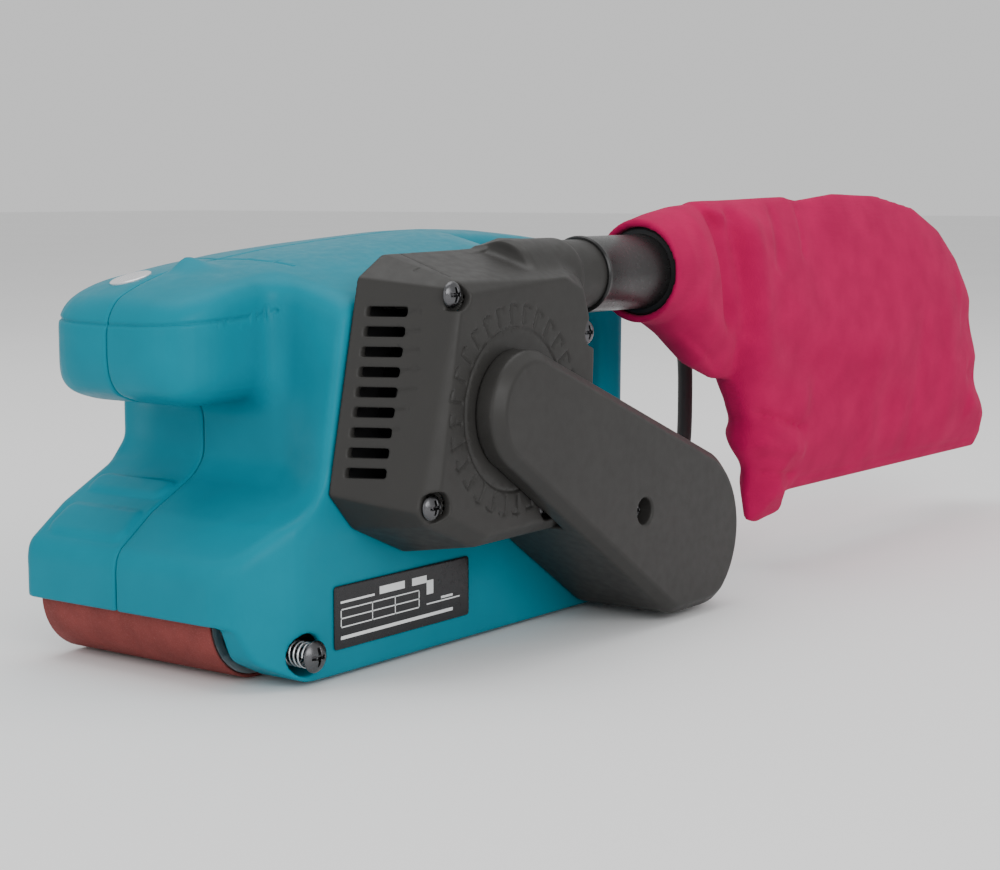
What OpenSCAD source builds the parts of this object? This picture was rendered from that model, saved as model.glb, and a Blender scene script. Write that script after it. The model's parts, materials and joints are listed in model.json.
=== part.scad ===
// Handheld belt sander with a direct belt drive and a cloth dust bag.
// Millimetres, +Z up, +X to the rear handle, -Y the drive side.
// Origin: centre of the flat sanding face.

/* [Sanding belt and rollers] */
// Width of the sanding belt
belt_w = 76; // [60:1:100]
// Thickness of the sanding belt
belt_t = 1; // [0.6:0.1:1.4]
// Distance between the two roller axes
roller_gap = 161; // [140:1:200]
// Radius of the front roller
front_r = 19.2; // [17:0.1:20]
// Radius of the drive roller over its tyre
drive_r = 22.2; // [20:0.1:24]
// Thickness of the drive roller's rubber tyre
tyre_t = 4; // [2:0.5:6]
// Travel of the front roller when the belt is released
release_travel = 6; // [3:0.5:8]

/* [Housing] */
// Height of the housing over its crown
body_h = 137.5; // [132:0.5:170]
// Wall of the plastic housing
wall = 3; // [2:0.5:4]
// Width of the front knob
knob_w = 68; // [56:1:80]
// Width of the rear grip
grip_w = 40; // [36:1:50]
// Height of the opening under the rear grip
hand_h = 42; // [36:1:48]

/* [Motor] */
// Place of the motor axis along the body
motor_x = -17; // [-20:1:-14]
// Radius of the stator
stator_r = 30; // [26:0.5:30.5]
// Radius of the rotor core
rotor_r = 17; // [14:0.5:18]
// Radius of the motor shaft in its bearings
shaft_r = 4; // [3:0.5:5]
// Radius of the cooling fan
fan_r = 31; // [26:0.5:33]

/* [Drive] */
// Radius of the small pulley
small_pulley_r = 4.5; // [4:0.1:6]
// Radius of the large pulley
large_pulley_r = 15; // [12:0.5:15.5]
// Thickness of the drive belt
drive_belt_t = 2.2; // [1.6:0.1:2.6]
// Radius of the drive shaft
drive_shaft_r = 6; // [5:0.5:7]
// Radius of the front axle
axle_r = 4; // [3:0.5:5]

/* [Dust port and bag] */
// Outer radius of the dust nozzle
port_r = 12.3; // [10:0.1:14]
// Wall of the bag's rubber neck
neck_t = 1.3; // [1:0.1:2]
// Thickness of the filled dust bag
bag_t = 34; // [24:1:40]

/* [Fits] */
// Running clearance of a shaft in its bore
run = 0.05; // [0.02:0.01:0.09]
// Gap between neighbouring pieces
gap = 0.3; // [0.2:0.1:0.5]

/* [Hidden] */
$fn = 48;

teal = [0.0, 0.45, 0.52];
charcoal = [0.2, 0.2, 0.2];
steel = [0.72, 0.73, 0.74];

// Roller axes
front_x = -roller_gap / 2;
rear_x = roller_gap / 2;
front_z = front_r + gap + belt_t;
rear_z = drive_r + gap + belt_t;
motor_z = 82;

// Planes across the machine, all counted out from the belt's edges
edge_y = belt_w / 2;
right_y = edge_y + 5;
inner_y = -(edge_y + 4);
side_y = -(edge_y + 23);
face_y = -(edge_y + 54);
guard_y = -(edge_y + 64);
plate_y = inner_y - 1;

// Housing outline in side view
skirt_x = front_x - 24.5;
skirt_z = 19.5;
tail_x = rear_x + 29.5;
knob_x = -107;
neck_x = -64;
back_x = 50;
grip_end_x = 164;
floor_z = 51.2;
hand_top = body_h - 33.5;
hand_z = hand_top - hand_h;
knob_half = knob_w / 2;
grip_half = grip_w / 2;

crown = [
  [knob_x, body_h - 27], [-102, body_h - 20.5], [-92, body_h - 16], [-80, body_h - 12],
  [-56, body_h - 8.5], [-20, body_h - 4.5], [15, body_h - 2], [50, body_h],
  [90, body_h - 2.5], [140, body_h - 8]
];

// Screws that join the halves: x, z, half width of the left and of the right half there
halves_screws = [
  [-90, 100, knob_half, knob_half],
  [-54.5, 80, -side_y, right_y],
  [38, hand_top + 16, -side_y, right_y],
  [152, body_h - 20, grip_half, grip_half],
  [152, 68, grip_half, grip_half]
];
pilot_r = 1.6;
screw_r = 1.55;
head_r = 3.6;
head_h = 2.4;
boss_r = 4.6;
cover_screws = [[-45, 119.5], [-55.5, 55], [28, 104], [2, 49]];
cover_screw_y = face_y + 3;
guard_share = 0.636;
guard_screw = [motor_x + guard_share * (rear_x - motor_x), motor_z + guard_share * (rear_z - motor_z) - 2.5];

// Pulleys and the drive belt
belt_y0 = face_y - 6.9;
belt_y1 = face_y - 0.9;
shaft_step = 1;

// Bearings
ball_out = 11;
ball_w = 7;
end_out = 9.5;
end_w = 6;

// Dust port
port_y = face_y + 22;
port_z = 122;
port_end = 85;
sleeve_x = [50.3, 92];

// Trigger, switch and dial
trig_x = 66;
trig_z = hand_top + 6;
trig_len = 32;
trig_half = 7.5;
switch_z = hand_top + 8.5;
dial_r = 11;
dial_x = back_x - 8;
dial_z = hand_top - 14;
button_x = 84;
button_z = hand_top + 16;
button_r = 4.5;
button_travel = 2.5;

// Cord
cord_r = 3.25;
guard_root = [160, 0, 113];
guard_tip = [200.6, -7.1, 102];
guard_r = 7;
coil_at = [95, 130];
coil_mid_r = 36;
cord_route = [
  [200.6, -7.1, 102], [209, -8.6, 98.5], [215.5, -9.8, 92], [219.5, -10.5, 84], [221, -10.8, 75],
  [221, -10.8, 62], [221, -10.8, 49], [220.8, -10.2, 37.5], [219.7, -6.5, 26], [217, 1, 16],
  [212, 12, 8.5], [205.5, 25, 4.5], [198, 38, 3.3], [190, 51, 3.3], [181.5, 64, 3.3],
  [172.5, 77, 3.3], [162.5, 89, 3.3], [152.5, 100, 3.3], [144, 111, 3.3], [139, 121, 3.3], [137.5, 130, 3.3]
];

// ---- helpers ----

// Extrudes an X-Z outline along Y.
module slab_y(y0, y1) {
  translate([0, y1, 0]) rotate([90, 0, 0]) linear_extrude(y1 - y0) children();
}

// Extrudes a Y-Z outline along X.
module slab_x(x0, x1) {
  translate([x0, 0, 0]) rotate([90, 0, 90]) linear_extrude(x1 - x0) children();
}

module rod_y(at, y0, y1, r) {
  translate([at[0], y0, at[1]]) rotate([-90, 0, 0]) cylinder(h = y1 - y0, r = r);
}

module rod_x(at, x0, x1, r) {
  translate([x0, at[0], at[1]]) rotate([0, 90, 0]) cylinder(h = x1 - x0, r = r);
}

module ring_y(at, y0, y1, outer, inner) {
  difference() {
    rod_y(at, y0, y1, outer);
    rod_y(at, y0 - 1, y1 + 1, inner);
  }
}

// Stands children on the cord guard's root, +Z towards its tip.
module along_guard() {
  d = guard_tip - guard_root;
  translate(guard_root) rotate([0, acos(d[2] / norm(d)), atan2(d[1], d[0])]) children();
}

// A rectangle with round corners, from its low corner to its high corner.
module round_rect(low, high, r) {
  translate([low[0] + r, low[1] + r]) offset(r = r, $fn = 24)
    square([high[0] - low[0] - 2 * r, high[1] - low[1] - 2 * r]);
}

// The outline of a belt round two pulleys, grown by t.
module loop_2d(a, ra, b, rb, t) {
  hull() {
    translate(a) circle(ra + t, $fn = 96);
    translate(b) circle(rb + t, $fn = 96);
  }
}

// A pan-head screw with a cross recess, its shank along +Y from the head.
module screw_y(at, y0, length) {
  difference() {
    union() {
      rod_y(at, y0, y0 + head_h, head_r);
      rod_y(at, y0 + head_h, y0 + length, screw_r);
    }
    translate([at[0] - 2, y0 - 1, at[1] - 0.4]) cube([4, 2.2, 0.8]);
    translate([at[0] - 0.4, y0 - 1, at[1] - 2]) cube([0.8, 2.2, 4]);
  }
}

// ---- housing ----

module side_2d() {
  offset(r = 4, $fn = 24) offset(delta = -4) polygon(concat(
    [[skirt_x, skirt_z], [skirt_x, 33], [front_x - 21.5, 41], [front_x - 10, 49.5], [-66, 62],
     [neck_x, 66], [neck_x, 80], [-92, 84], [-104, 90], [knob_x, 97]],
    crown,
    [[156, body_h - 13], [grip_end_x, body_h - 26], [grip_end_x - 1, 62], [150, 47],
     [tail_x + 2, 40], [tail_x, 22], [rear_x + 26, skirt_z]]));
}

module hand_hole_2d() {
  round_rect([back_x, hand_z], [grip_end_x - 22, hand_top], 8);
}

module knob_block(t) {
  intersection() {
    slab_y(-knob_half + t, knob_half - t) offset(delta = -t) side_2d();
    translate([0, 0, 70]) linear_extrude(body_h)
      offset(delta = -t) round_rect([knob_x, -knob_half], [-30, knob_half], 16);
    slab_x(knob_x - 1, -30)
      offset(delta = -t) round_rect([-knob_half, 80], [knob_half, body_h - 8], 15);
  }
}

module motor_block(t) {
  intersection() {
    slab_y(side_y + t, right_y - t) offset(delta = -t) side_2d();
    translate([0, 0, t > 0 ? floor_z : 45]) linear_extrude(body_h) offset(delta = -t) polygon([
      [neck_x, -edge_y], [neck_x - 2, side_y], [34, side_y], [back_x, side_y + 16],
      [back_x, right_y - 8], [back_x - 8, right_y], [neck_x + 10, right_y], [neck_x, right_y - 9]
    ]);
    slab_x(neck_x - 6, back_x) offset(delta = -t) polygon([
      [side_y, 40], [side_y, body_h - 17], [side_y + 5, body_h - 11], [side_y + 16, body_h - 6.5],
      [-grip_half, body_h - 1.5], [0, body_h], [grip_half, body_h - 1.5],
      [right_y - 8, body_h - 7], [right_y, body_h - 17], [right_y, 40]
    ]);
  }
}

module grip_block(t) {
  intersection() {
    slab_y(-grip_half + t, grip_half - t) offset(delta = -t) difference() {
      side_2d();
      hand_hole_2d();
    }
    translate([0, 0, t > 0 ? floor_z : 30]) linear_extrude(body_h)
      offset(delta = -t) round_rect([20, -grip_half], [grip_end_x, grip_half], 9);
    slab_x(20, grip_end_x)
      offset(delta = -t) round_rect([-grip_half, 30], [grip_half, body_h], 9);
  }
}

// The base's plan, with its round front corner on the drive side.
module base_plan() {
  polygon([
    [skirt_x, right_y - 3], [skirt_x + 3, right_y], [tail_x - 3, right_y], [tail_x, right_y - 4],
    [tail_x, side_y + 8], [tail_x - 8, side_y], [front_x + 1, side_y], [front_x - 9, side_y + 3],
    [front_x - 18, side_y + 9], [skirt_x + 1.5, side_y + 16], [skirt_x, inner_y + 2]
  ]);
}

module base_side(bottom) {
  polygon([
    [skirt_x, bottom], [skirt_x, 33], [front_x - 21.5, 41], [front_x - 10, 49.5], [-66, 62],
    [40, 62], [58, 57], [rear_x + 14, 55], [rear_x + 25, 46], [tail_x, 34], [tail_x, bottom]
  ]);
}

module base_block() {
  intersection() {
    union() {
      slab_y(inner_y - 0.01, right_y) base_side(skirt_z);
      slab_y(side_y, inner_y) base_side(1);
    }
    linear_extrude(70) base_plan();
    linear_extrude(70) union() {
      polygon([
        [front_x - 16.5, inner_y], [front_x + 2.5, side_y - 1], [tail_x, side_y - 1],
        [tail_x, right_y + 1], [front_x - 16.5, right_y + 1]
      ]);
      translate([skirt_x - 1, side_y - 1]) square([40, right_y - side_y + 2]);
    }
  }
}

// The space that the sanding belt, the rollers and the frame stand in.
module belt_space() {
  slab_y(inner_y, right_y + 1) polygon([
    [skirt_x + wall, -5], [skirt_x + wall, 31], [front_x - 19.5, 38], [front_x - 9, 44.5],
    [front_x + 8, 45.5], [rear_x - 5, 50], [rear_x + 16, 47.5], [tail_x - wall, 33], [tail_x - wall, -5]
  ]);
  intersection() {
    slab_y(side_y + wall, inner_y + 1) polygon([
      [front_x + 8, 4], [front_x - 6, 15], [front_x - 8, 40], [front_x + 8, 45.5], [rear_x - 5, 50],
      [rear_x + 16, 47.5], [tail_x - wall, 33], [tail_x - wall, 4]
    ]);
    translate([0, 0, -1]) linear_extrude(70) offset(delta = -wall) base_plan();
  }
}

module housing_outer() {
  knob_block(0);
  motor_block(0);
  grip_block(0);
  base_block();
}

module housing_hollow() {
  knob_block(wall);
  motor_block(wall);
  grip_block(wall);
  belt_space();
}

// Everything that is let into the shell: openings for what turns, slides or is pressed.
module housing_cuts() {
  rod_y([motor_x, motor_z], side_y - 1, side_y + wall + 1, fan_r + 2);
  rod_y([rear_x, rear_z], side_y - 1, inner_y + 1, drive_shaft_r + 2);
  rod_y([rear_x, rear_z], side_y - 1, side_y + ball_w - 0.5, ball_out);
  rod_y([front_x - 1, 10], side_y - 4, inner_y + 1, 6.5);
  translate([trig_x - 3, -trig_half - 0.5, hand_top - 1]) cube([trig_len + 5, 2 * trig_half + 1, wall + 2]);
  rod_y([button_x, button_z], -grip_half - 1, -grip_half + wall + 1, button_r + 0.2);
  translate([back_x - wall - 1, -5.6, dial_z - dial_r]) cube([wall + 2, 11.2, 2 * dial_r]);
  for (s = cover_screws) rod_y(s, side_y - 1, side_y + 12, pilot_r);
  rod_y(guard_screw, side_y - 1, side_y + 12, pilot_r);
  rod_x([port_y, port_z], 0, back_x + 1, port_r + gap);
  along_guard() translate([0, 0, -1]) cylinder(h = 12, r = guard_r + 0.2);
}

// Inner bosses, cradles and seats, before their holes are cut.
module housing_bosses() {
  for (s = halves_screws) rod_y([s[0], s[1]], -s[2] + 1, s[3] - 1, boss_r);
  for (s = cover_screws) rod_y(s, side_y + 0.5, side_y + 12, boss_r);
  rod_y(guard_screw, side_y + 0.5, side_y + 12, boss_r);
  rod_y([rear_x, rear_z], side_y + 0.5, side_y + ball_w + 2, ball_out + 2.5);
  ring_y([motor_x, motor_z], right_y - 12, right_y - 1, end_out + 3, end_out);
  for (y = [-22, 2]) difference() {
    intersection() {
      motor_block(wall - 0.5);
      slab_y(y, y + 4) translate([motor_x - 60, floor_z - 1]) square([120, 90]);
    }
    rod_y([motor_x, motor_z], y - 1, y + 5, stator_r + 0.02);
    translate([neck_x, y - 1, motor_z]) cube([motor_x - stator_r - neck_x - 4, 6, 80]);
    translate([motor_x + stator_r + 3, y - 1, 0]) cube([60, 6, 200]);
  }
}

module housing_shell() {
  difference() {
    union() {
      difference() {
        housing_outer();
        housing_hollow();
        slab_y(-60, 60) hand_hole_2d();
      }
      intersection() {
        housing_outer();
        housing_bosses();
      }
    }
    housing_cuts();
    for (s = halves_screws) {
      rod_y([s[0], s[1]], -14, 0.1, pilot_r);
      rod_y([s[0], s[1]], 0, s[3] + 1, pilot_r + 0.3);
      rod_y([s[0], s[1]], s[3] - 4, s[3] + 1, head_r + 0.3);
    }
  }
}

module housing_left() {
  color(teal) intersection() {
    housing_shell();
    translate([-200, -150, -10]) cube([400, 150, 250]);
  }
}

module housing_right() {
  color(teal) intersection() {
    housing_shell();
    translate([-200, 0, -10]) cube([400, 150, 250]);
  }
}

module housing_screws() {
  color(steel) for (s = halves_screws)
    mirror([0, 1, 0]) screw_y([s[0], s[1]], -s[3] + 1.6, s[3] - 1.6 + 12);
}

// ---- covers on the drive side ----

fan_back = [
  [-69, 58], [-58, 46], [-33, 36], [3, 36], [9, 44], [30, 89], [34, 106],
  [31, body_h - 14], [12, body_h - 6], [-35, body_h - 7], [-54, body_h - 14]
];
fan_face = [
  [-54, 70], [-56, 52], [-34, 44], [9, 44], [30, 89], [28, 107], [22, body_h - 20],
  [14, body_h - 15.5], [-38, body_h - 18], [-48, body_h - 21]
];

module fan_cover_block(t) {
  hull() {
    slab_y(side_y - gap - 0.1, side_y - gap) offset(delta = -t) polygon(fan_back);
    slab_y(face_y + 3, face_y + 3.1) offset(delta = -t + 1.5) polygon(fan_face);
    slab_y(face_y + t, face_y + t + 0.1) offset(delta = -t - 1.5) polygon(fan_face);
  }
}

module fan_cover() {
  color(charcoal) difference() {
    union() {
      difference() {
        union() {
          fan_cover_block(0);
          rod_x([port_y, port_z], 8, port_end, port_r);
        }
        fan_cover_block(2.5);
        translate([-80, side_y - 3, 30]) cube([130, 2.8, 3]);
        rod_x([port_y, port_z], 5, port_end + 1, port_r - 2.6);
      }
      rod_y([motor_x, motor_z], face_y + 1, face_y + ball_w + 3, ball_out + 3);
      for (s = cover_screws) rod_y(s, cover_screw_y - 1, side_y - gap, boss_r);
    }
    rod_y([motor_x, motor_z], face_y + 3, face_y + ball_w + 4, ball_out);
    rod_y([motor_x, motor_z], face_y - 1, face_y + 4, shaft_r + 1.5);
    for (s = cover_screws) {
      rod_y(s, face_y - 5, cover_screw_y + head_h, head_r + 0.4);
      rod_y(s, face_y, side_y, pilot_r + 0.3);
    }
    for (i = [0:8]) translate([-80, face_y + 5, 64 + 6.1 * i]) cube([31, 22, 3]);
  }
}

module fan_cover_screws() {
  color(steel) for (s = cover_screws) screw_y(s, cover_screw_y, side_y + 10 - cover_screw_y);
}

module belt_cover_2d(t) {
  intersection() {
    offset(delta = -t) loop_2d([motor_x - 2, motor_z], 19.5, [rear_x, rear_z + 6], 31, 0);
    translate([-100, 2.2 + t]) square([300, 200]);
  }
}

// The part of the cover's outline that reaches back to the housing.
module belt_cover_deep_2d() {
  polygon([[33, 120], [31.5, 89], [11, 42.5], [4.5, 35.5], [4.5, 0], [200, 0], [200, 120]]);
}

module belt_cover() {
  color(charcoal) difference() {
    union() {
      slab_y(guard_y, guard_y + 2) belt_cover_2d(2);
      slab_y(guard_y + 2, face_y - gap) belt_cover_2d(0);
      slab_y(face_y - gap, side_y - gap) intersection() {
        belt_cover_2d(0);
        belt_cover_deep_2d();
      }
    }
    difference() {
      union() {
        slab_y(guard_y + 2.5, face_y) belt_cover_2d(2.5);
        slab_y(face_y - 1, side_y + 1) intersection() {
          belt_cover_2d(2.5);
          offset(delta = -2.5) belt_cover_deep_2d();
        }
      }
      rod_y(guard_screw, guard_y, side_y - gap, boss_r + 1);
    }
    rod_y(guard_screw, guard_y - 1, side_y + 1, pilot_r + 0.4);
    rod_y(guard_screw, guard_y - 1, guard_y + 7, head_r + 0.4);
  }
}

module belt_cover_screw() {
  color(steel) screw_y(guard_screw, guard_y + 4.6, side_y + 10 - guard_y - 4.6);
}

module rating_plate() {
  color([0.08, 0.08, 0.09]) slab_y(side_y - 0.4, side_y) round_rect([-70, 9], [-1, 29.5], 1.2);
}

badge_y = 10;
badge_r = 6.5;

// A round plate lying on the slope of the crown over the knob.
module knob_badge() {
  low = crown[2];
  high = crown[3];
  color([0.85, 0.86, 0.87]) translate([(low[0] + high[0]) / 2, badge_y, (low[1] + high[1]) / 2])
    rotate([0, -atan2(high[1] - low[1], high[0] - low[0]), 0]) cylinder(h = 0.5, r = badge_r);
}

// ---- frame and platen ----
beam_x = [front_x + front_r + release_travel + 9.3, 46];
beam_z = [7, 35];
arm_y = [edge_y + 0.8, right_y - 0.2];

module main_frame() {
  color([0.66, 0.67, 0.68]) difference() {
    union() {
      slab_y(plate_y - 4, plate_y) polygon([
        [beam_x[0], 7], [rear_x - 8, 7], [rear_x - 8, 42], [14, 40], [beam_x[0], 37]
      ]);
      rod_y([rear_x, rear_z], plate_y - 5, plate_y, ball_out + 3);
      translate([beam_x[0], plate_y - 0.01, beam_z[0]])
        cube([beam_x[1] - beam_x[0], arm_y[1] - plate_y, beam_z[1] - beam_z[0]]);
      slab_y(arm_y[0], arm_y[1]) polygon([[40, 11], [rear_x, rear_z - 12], [rear_x, rear_z + 12], [40, 35]]);
      rod_y([rear_x, rear_z], arm_y[0], arm_y[1], 12);
    }
    rod_y([rear_x, rear_z], plate_y - 6, plate_y + 1, drive_shaft_r + 2);
    rod_y([rear_x, rear_z], plate_y - 6, plate_y - 1, ball_out);
    rod_y([rear_x, rear_z], arm_y[0] - 1, arm_y[1] + 1, 8);
    rod_x([0, front_z], beam_x[0] - 1, 24, 8);
    // pocket of the release lever
    translate([-24, edge_y - 14, 13]) cube([64, 40, 16]);
    for (x = platen_screws_x, y = platen_screws_y) translate([x, y, 0]) cylinder(h = 16, r = 1.6);
  }
}

// Screws of the platen
platen_screws_x = [-30, 30];
platen_screws_y = [-26, 22];
platen_x = [front_x + 23.5, rear_x - 25.5];
sheet_z = belt_t + gap;

module platen_plate() {
  color(steel) difference() {
    translate([platen_x[0], -edge_y, sheet_z + 0.6]) cube([platen_x[1] - platen_x[0], belt_w, 1]);
    for (x = platen_screws_x, y = platen_screws_y) translate([x, y, -1]) cylinder(h = 10, r = 1.7);
  }
}

module platen_pad() {
  color([0.62, 0.45, 0.28]) difference() {
    translate([platen_x[0], -edge_y, sheet_z + 1.6])
      cube([platen_x[1] - platen_x[0], belt_w, beam_z[0] - sheet_z - 1.6]);
    for (x = platen_screws_x, y = platen_screws_y) translate([x, y, -1]) cylinder(h = 20, r = 1.7);
  }
}

module graphite_sheet() {
  color([0.16, 0.16, 0.17]) translate([platen_x[0], -edge_y, sheet_z])
    cube([platen_x[1] - platen_x[0], belt_w, 0.6]);
}

module platen_screws() {
  color(steel) for (x = platen_screws_x, y = platen_screws_y) translate([x, y, sheet_z + 0.65]) cylinder(h = 13, r = 1.55);
}

// ---- belt and rollers ----

module sanding_belt() {
  color([0.5, 0.22, 0.2]) slab_y(-edge_y, edge_y) difference() {
    loop_2d([front_x, front_z], front_r, [rear_x, rear_z], drive_r, gap + belt_t);
    loop_2d([front_x, front_z], front_r, [rear_x, rear_z], drive_r, gap);
  }
}

module drive_roller_core() {
  color([0.6, 0.61, 0.62]) difference() {
    rod_y([rear_x, rear_z], -edge_y, edge_y, drive_r - tyre_t);
    rod_y([rear_x, rear_z], -edge_y - 1, edge_y + 1, drive_shaft_r);
    for (s = [-1, 1]) ring_y([rear_x, rear_z], s * edge_y - 8, s * edge_y + 8, drive_r - tyre_t - 3, drive_shaft_r + 4);
  }
}

module drive_roller_tyre() {
  color([0.13, 0.13, 0.13]) ring_y([rear_x, rear_z], -edge_y, edge_y, drive_r, drive_r - tyre_t);
}

module drive_shaft() {
  color(steel) union() {
    rod_y([rear_x, rear_z], face_y - 0.5, edge_y + 0.5, drive_shaft_r);
    rod_y([rear_x, rear_z], edge_y + 0.4, arm_y[1], drive_shaft_r - shaft_step);
    rod_y([rear_x, rear_z], belt_y0 - 0.4, face_y, drive_shaft_r - 2);
  }
}

module bearing_y(at, y0, w, outer, inner) {
  difference() {
    ring_y(at, y0, y0 + w, outer, inner);
    for (y = [y0 - 1, y0 + w - 0.8])
      ring_y(at, y, y + 1.8, (outer + inner) / 2 + (outer - inner) / 4, (outer + inner) / 2 - (outer - inner) / 4);
  }
}

module drive_bearings() {
  color(steel) {
    bearing_y([rear_x, rear_z], side_y + 0.5, ball_w - 1, ball_out - 0.02, drive_shaft_r + run);
    bearing_y([rear_x, rear_z], plate_y - 5, 4, ball_out - 0.02, drive_shaft_r + run);
    ring_y([rear_x, rear_z], arm_y[0], arm_y[1], 8 - 0.02, drive_shaft_r - shaft_step + run);
  }
}

module ribbed_pulley(at, y0, y1, outer, inner) {
  difference() {
    rod_y(at, y0, y1, outer);
    rod_y(at, y0 - 1, y1 + 1, inner);
    for (i = [1:4]) ring_y(at, y0 + i * (y1 - y0) / 5 - 0.3, y0 + i * (y1 - y0) / 5 + 0.3, outer + 1, outer - 0.8);
  }
}

module large_pulley() {
  color(steel) difference() {
    ribbed_pulley([rear_x, rear_z], belt_y0 + 1.9, belt_y1, large_pulley_r, drive_shaft_r - 2);
    ring_y([rear_x, rear_z], belt_y0, belt_y0 + 4, large_pulley_r - 2.5, drive_shaft_r + 2);
  }
}

module pulley_nut() {
  color(steel) difference() {
    translate([rear_x, belt_y0 + 1.9, rear_z]) rotate([90, 0, 0]) cylinder(h = 1.8, r = 6.5, $fn = 6);
    rod_y([rear_x, rear_z], belt_y0 - 5, belt_y0 + 5, drive_shaft_r - 2);
  }
}

module drive_belt() {
  color([0.1, 0.1, 0.1]) slab_y(belt_y0 + 1.9, belt_y1) difference() {
    loop_2d([motor_x, motor_z], small_pulley_r, [rear_x, rear_z], large_pulley_r, drive_belt_t + 0.15);
    loop_2d([motor_x, motor_z], small_pulley_r, [rear_x, rear_z], large_pulley_r, 0.15);
  }
}

module small_pulley() {
  color(steel) ribbed_pulley([motor_x, motor_z], belt_y0 + 1.5, belt_y1, small_pulley_r, shaft_r - 1.5);
}

roller_bearing_r = 8;

module front_roller() {
  color([0.62, 0.63, 0.64]) difference() {
    rod_y([front_x, front_z], -edge_y, edge_y, front_r);
    rod_y([front_x, front_z], -edge_y - 1, edge_y + 1, axle_r + 1.5);
    for (y = [-edge_y - 1, edge_y - 6]) rod_y([front_x, front_z], y, y + 7, roller_bearing_r);
    for (s = [-1, 1]) ring_y([front_x, front_z], s * edge_y - 6, s * edge_y + 6, front_r - 3, roller_bearing_r + 3);
  }
}

module front_roller_bearings() {
  color(steel) for (y = [-edge_y, edge_y - 6])
    bearing_y([front_x, front_z], y, 6, roller_bearing_r, axle_r + run);
}

fork_y = [edge_y + 0.8, edge_y + 3.6];

module front_axle() {
  color(steel) rod_y([front_x, front_z], -fork_y[1], fork_y[1], axle_r);
}

module roller_fork() {
  bar = [front_x + front_r + 3, front_x + front_r + 7];
  color([0.7, 0.71, 0.72]) difference() {
    union() {
      for (s = [-1, 1]) {
        slab_y(s > 0 ? fork_y[0] : -fork_y[1], s > 0 ? fork_y[1] : -fork_y[0])
          polygon([[front_x - 7, 14], [bar[1], 12], [bar[1], 30], [front_x - 7, 28]]);
      }
      translate([bar[0], -fork_y[1], 12]) cube([bar[1] - bar[0], 2 * fork_y[1], 18]);
      rod_x([0, front_z], bar[0], 0, 5);
    }
    rod_y([front_x, front_z], -fork_y[1] - 1, fork_y[1] + 1, axle_r);
  }
}

// One round coil spring made of stacked rings on a thin sleeve, along +X.
module coil_x(x0, x1, outer, wire) {
  turns = round((x1 - x0) / (2 * wire));
  difference() {
    union() {
      rod_x([0, front_z], x0, x1, outer - 0.6 * wire);
      for (i = [0:turns - 1]) let (x = x0 + wire * (2 * i + 0.4)) rod_x([0, front_z], x, x + wire, outer);
    }
    rod_x([0, front_z], x0 - 1, x1 + 1, outer - wire);
  }
}

module tension_spring() {
  color(steel) coil_x(beam_x[0] + 4, -4, 7.4, 1.6);
}

lever_at = [18, edge_y - 6];
lever_r = 7;
lever_z = [15, 27];

module tension_lever() {
  color([0.75, 0.76, 0.77]) difference() {
    union() {
      translate([lever_at[0], lever_at[1], lever_z[0]]) cylinder(h = lever_z[1] - lever_z[0], r = lever_r);
      translate([lever_at[0] - 38, lever_at[1] + 2, lever_z[0]]) cube([38, 4.5, lever_z[1] - lever_z[0]]);
      translate([lever_at[0] - 38, lever_at[1] + 2, lever_z[0]]) cube([5, 7, lever_z[1] - lever_z[0]]);
    }
    translate([lever_at[0], lever_at[1], 0]) cylinder(h = 60, r = 3 + run);
  }
}

module lever_pin() {
  color(steel) translate([lever_at[0], lever_at[1], 13]) cylinder(h = 16, r = 3);
}

module tracking_screw() {
  at = [front_x - 1, 10];
  color([0.25, 0.25, 0.26]) difference() {
    union() {
      rod_y(at, side_y - 4, side_y - 1.6, 5.2);
      rod_y(at, side_y - 1.7, plate_y + 2, 2);
    }
    translate([at[0] - 3.4, side_y - 5, at[1] - 0.5]) cube([6.8, 2.2, 1]);
    translate([at[0] - 0.5, side_y - 5, at[1] - 3.4]) cube([1, 2.2, 6.8]);
  }
}

module tracking_spring() {
  at = [front_x - 1, 10];
  color(steel) difference() {
    union() {
      rod_y(at, side_y - 1.2, side_y + 9, 3.6);
      for (i = [0:3]) rod_y(at, side_y - 1 + 2.6 * i, side_y + 0.4 + 2.6 * i, 4.4);
    }
    rod_y(at, side_y - 2, side_y + 10, 2.9);
  }
}

// ---- motor ----
m = [motor_x, motor_z];

module armature_shaft() {
  color(steel) union() {
    rod_y(m, face_y + 0.2, right_y - 4.5, shaft_r);
    rod_y(m, belt_y0 + 1.5, face_y + 0.3, shaft_r - 1.5);
  }
}

module armature_core() {
  color([0.45, 0.46, 0.48]) difference() {
    rod_y(m, -26, 10, rotor_r);
    rod_y(m, -27, 11, shaft_r);
    for (a = [0:30:330]) translate([motor_x, 0, motor_z]) rotate([0, a, 0])
      translate([rotor_r - 3, -27, -0.9]) cube([6, 38, 1.8]);
  }
}

module commutator() {
  color([0.72, 0.45, 0.2]) difference() {
    rod_y(m, 17, 29, 11);
    rod_y(m, 16, 30, shaft_r);
    for (a = [0:20:340]) translate([motor_x, 0, motor_z]) rotate([0, a, 0])
      translate([10, 15, -0.3]) cube([3, 16, 0.6]);
  }
}

module armature_windings() {
  color([0.7, 0.35, 0.15]) {
    ring_y(m, -35, -26, rotor_r - 3, shaft_r);
    ring_y(m, 10, 17, rotor_r - 3.5, shaft_r);
  }
}

fan_y = side_y - 18;

module cooling_fan() {
  color([0.1, 0.1, 0.11]) difference() {
    union() {
      rod_y(m, fan_y, fan_y + 2, fan_r);
      rod_y(m, fan_y, fan_y + 13, 9);
      for (a = [0:24:336]) translate([motor_x, fan_y + 1, motor_z]) rotate([0, a, 0])
        translate([12, 0, -0.8]) cube([fan_r - 13, 11, 1.6]);
    }
    rod_y(m, fan_y - 1, fan_y + 15, shaft_r);
  }
}

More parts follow.
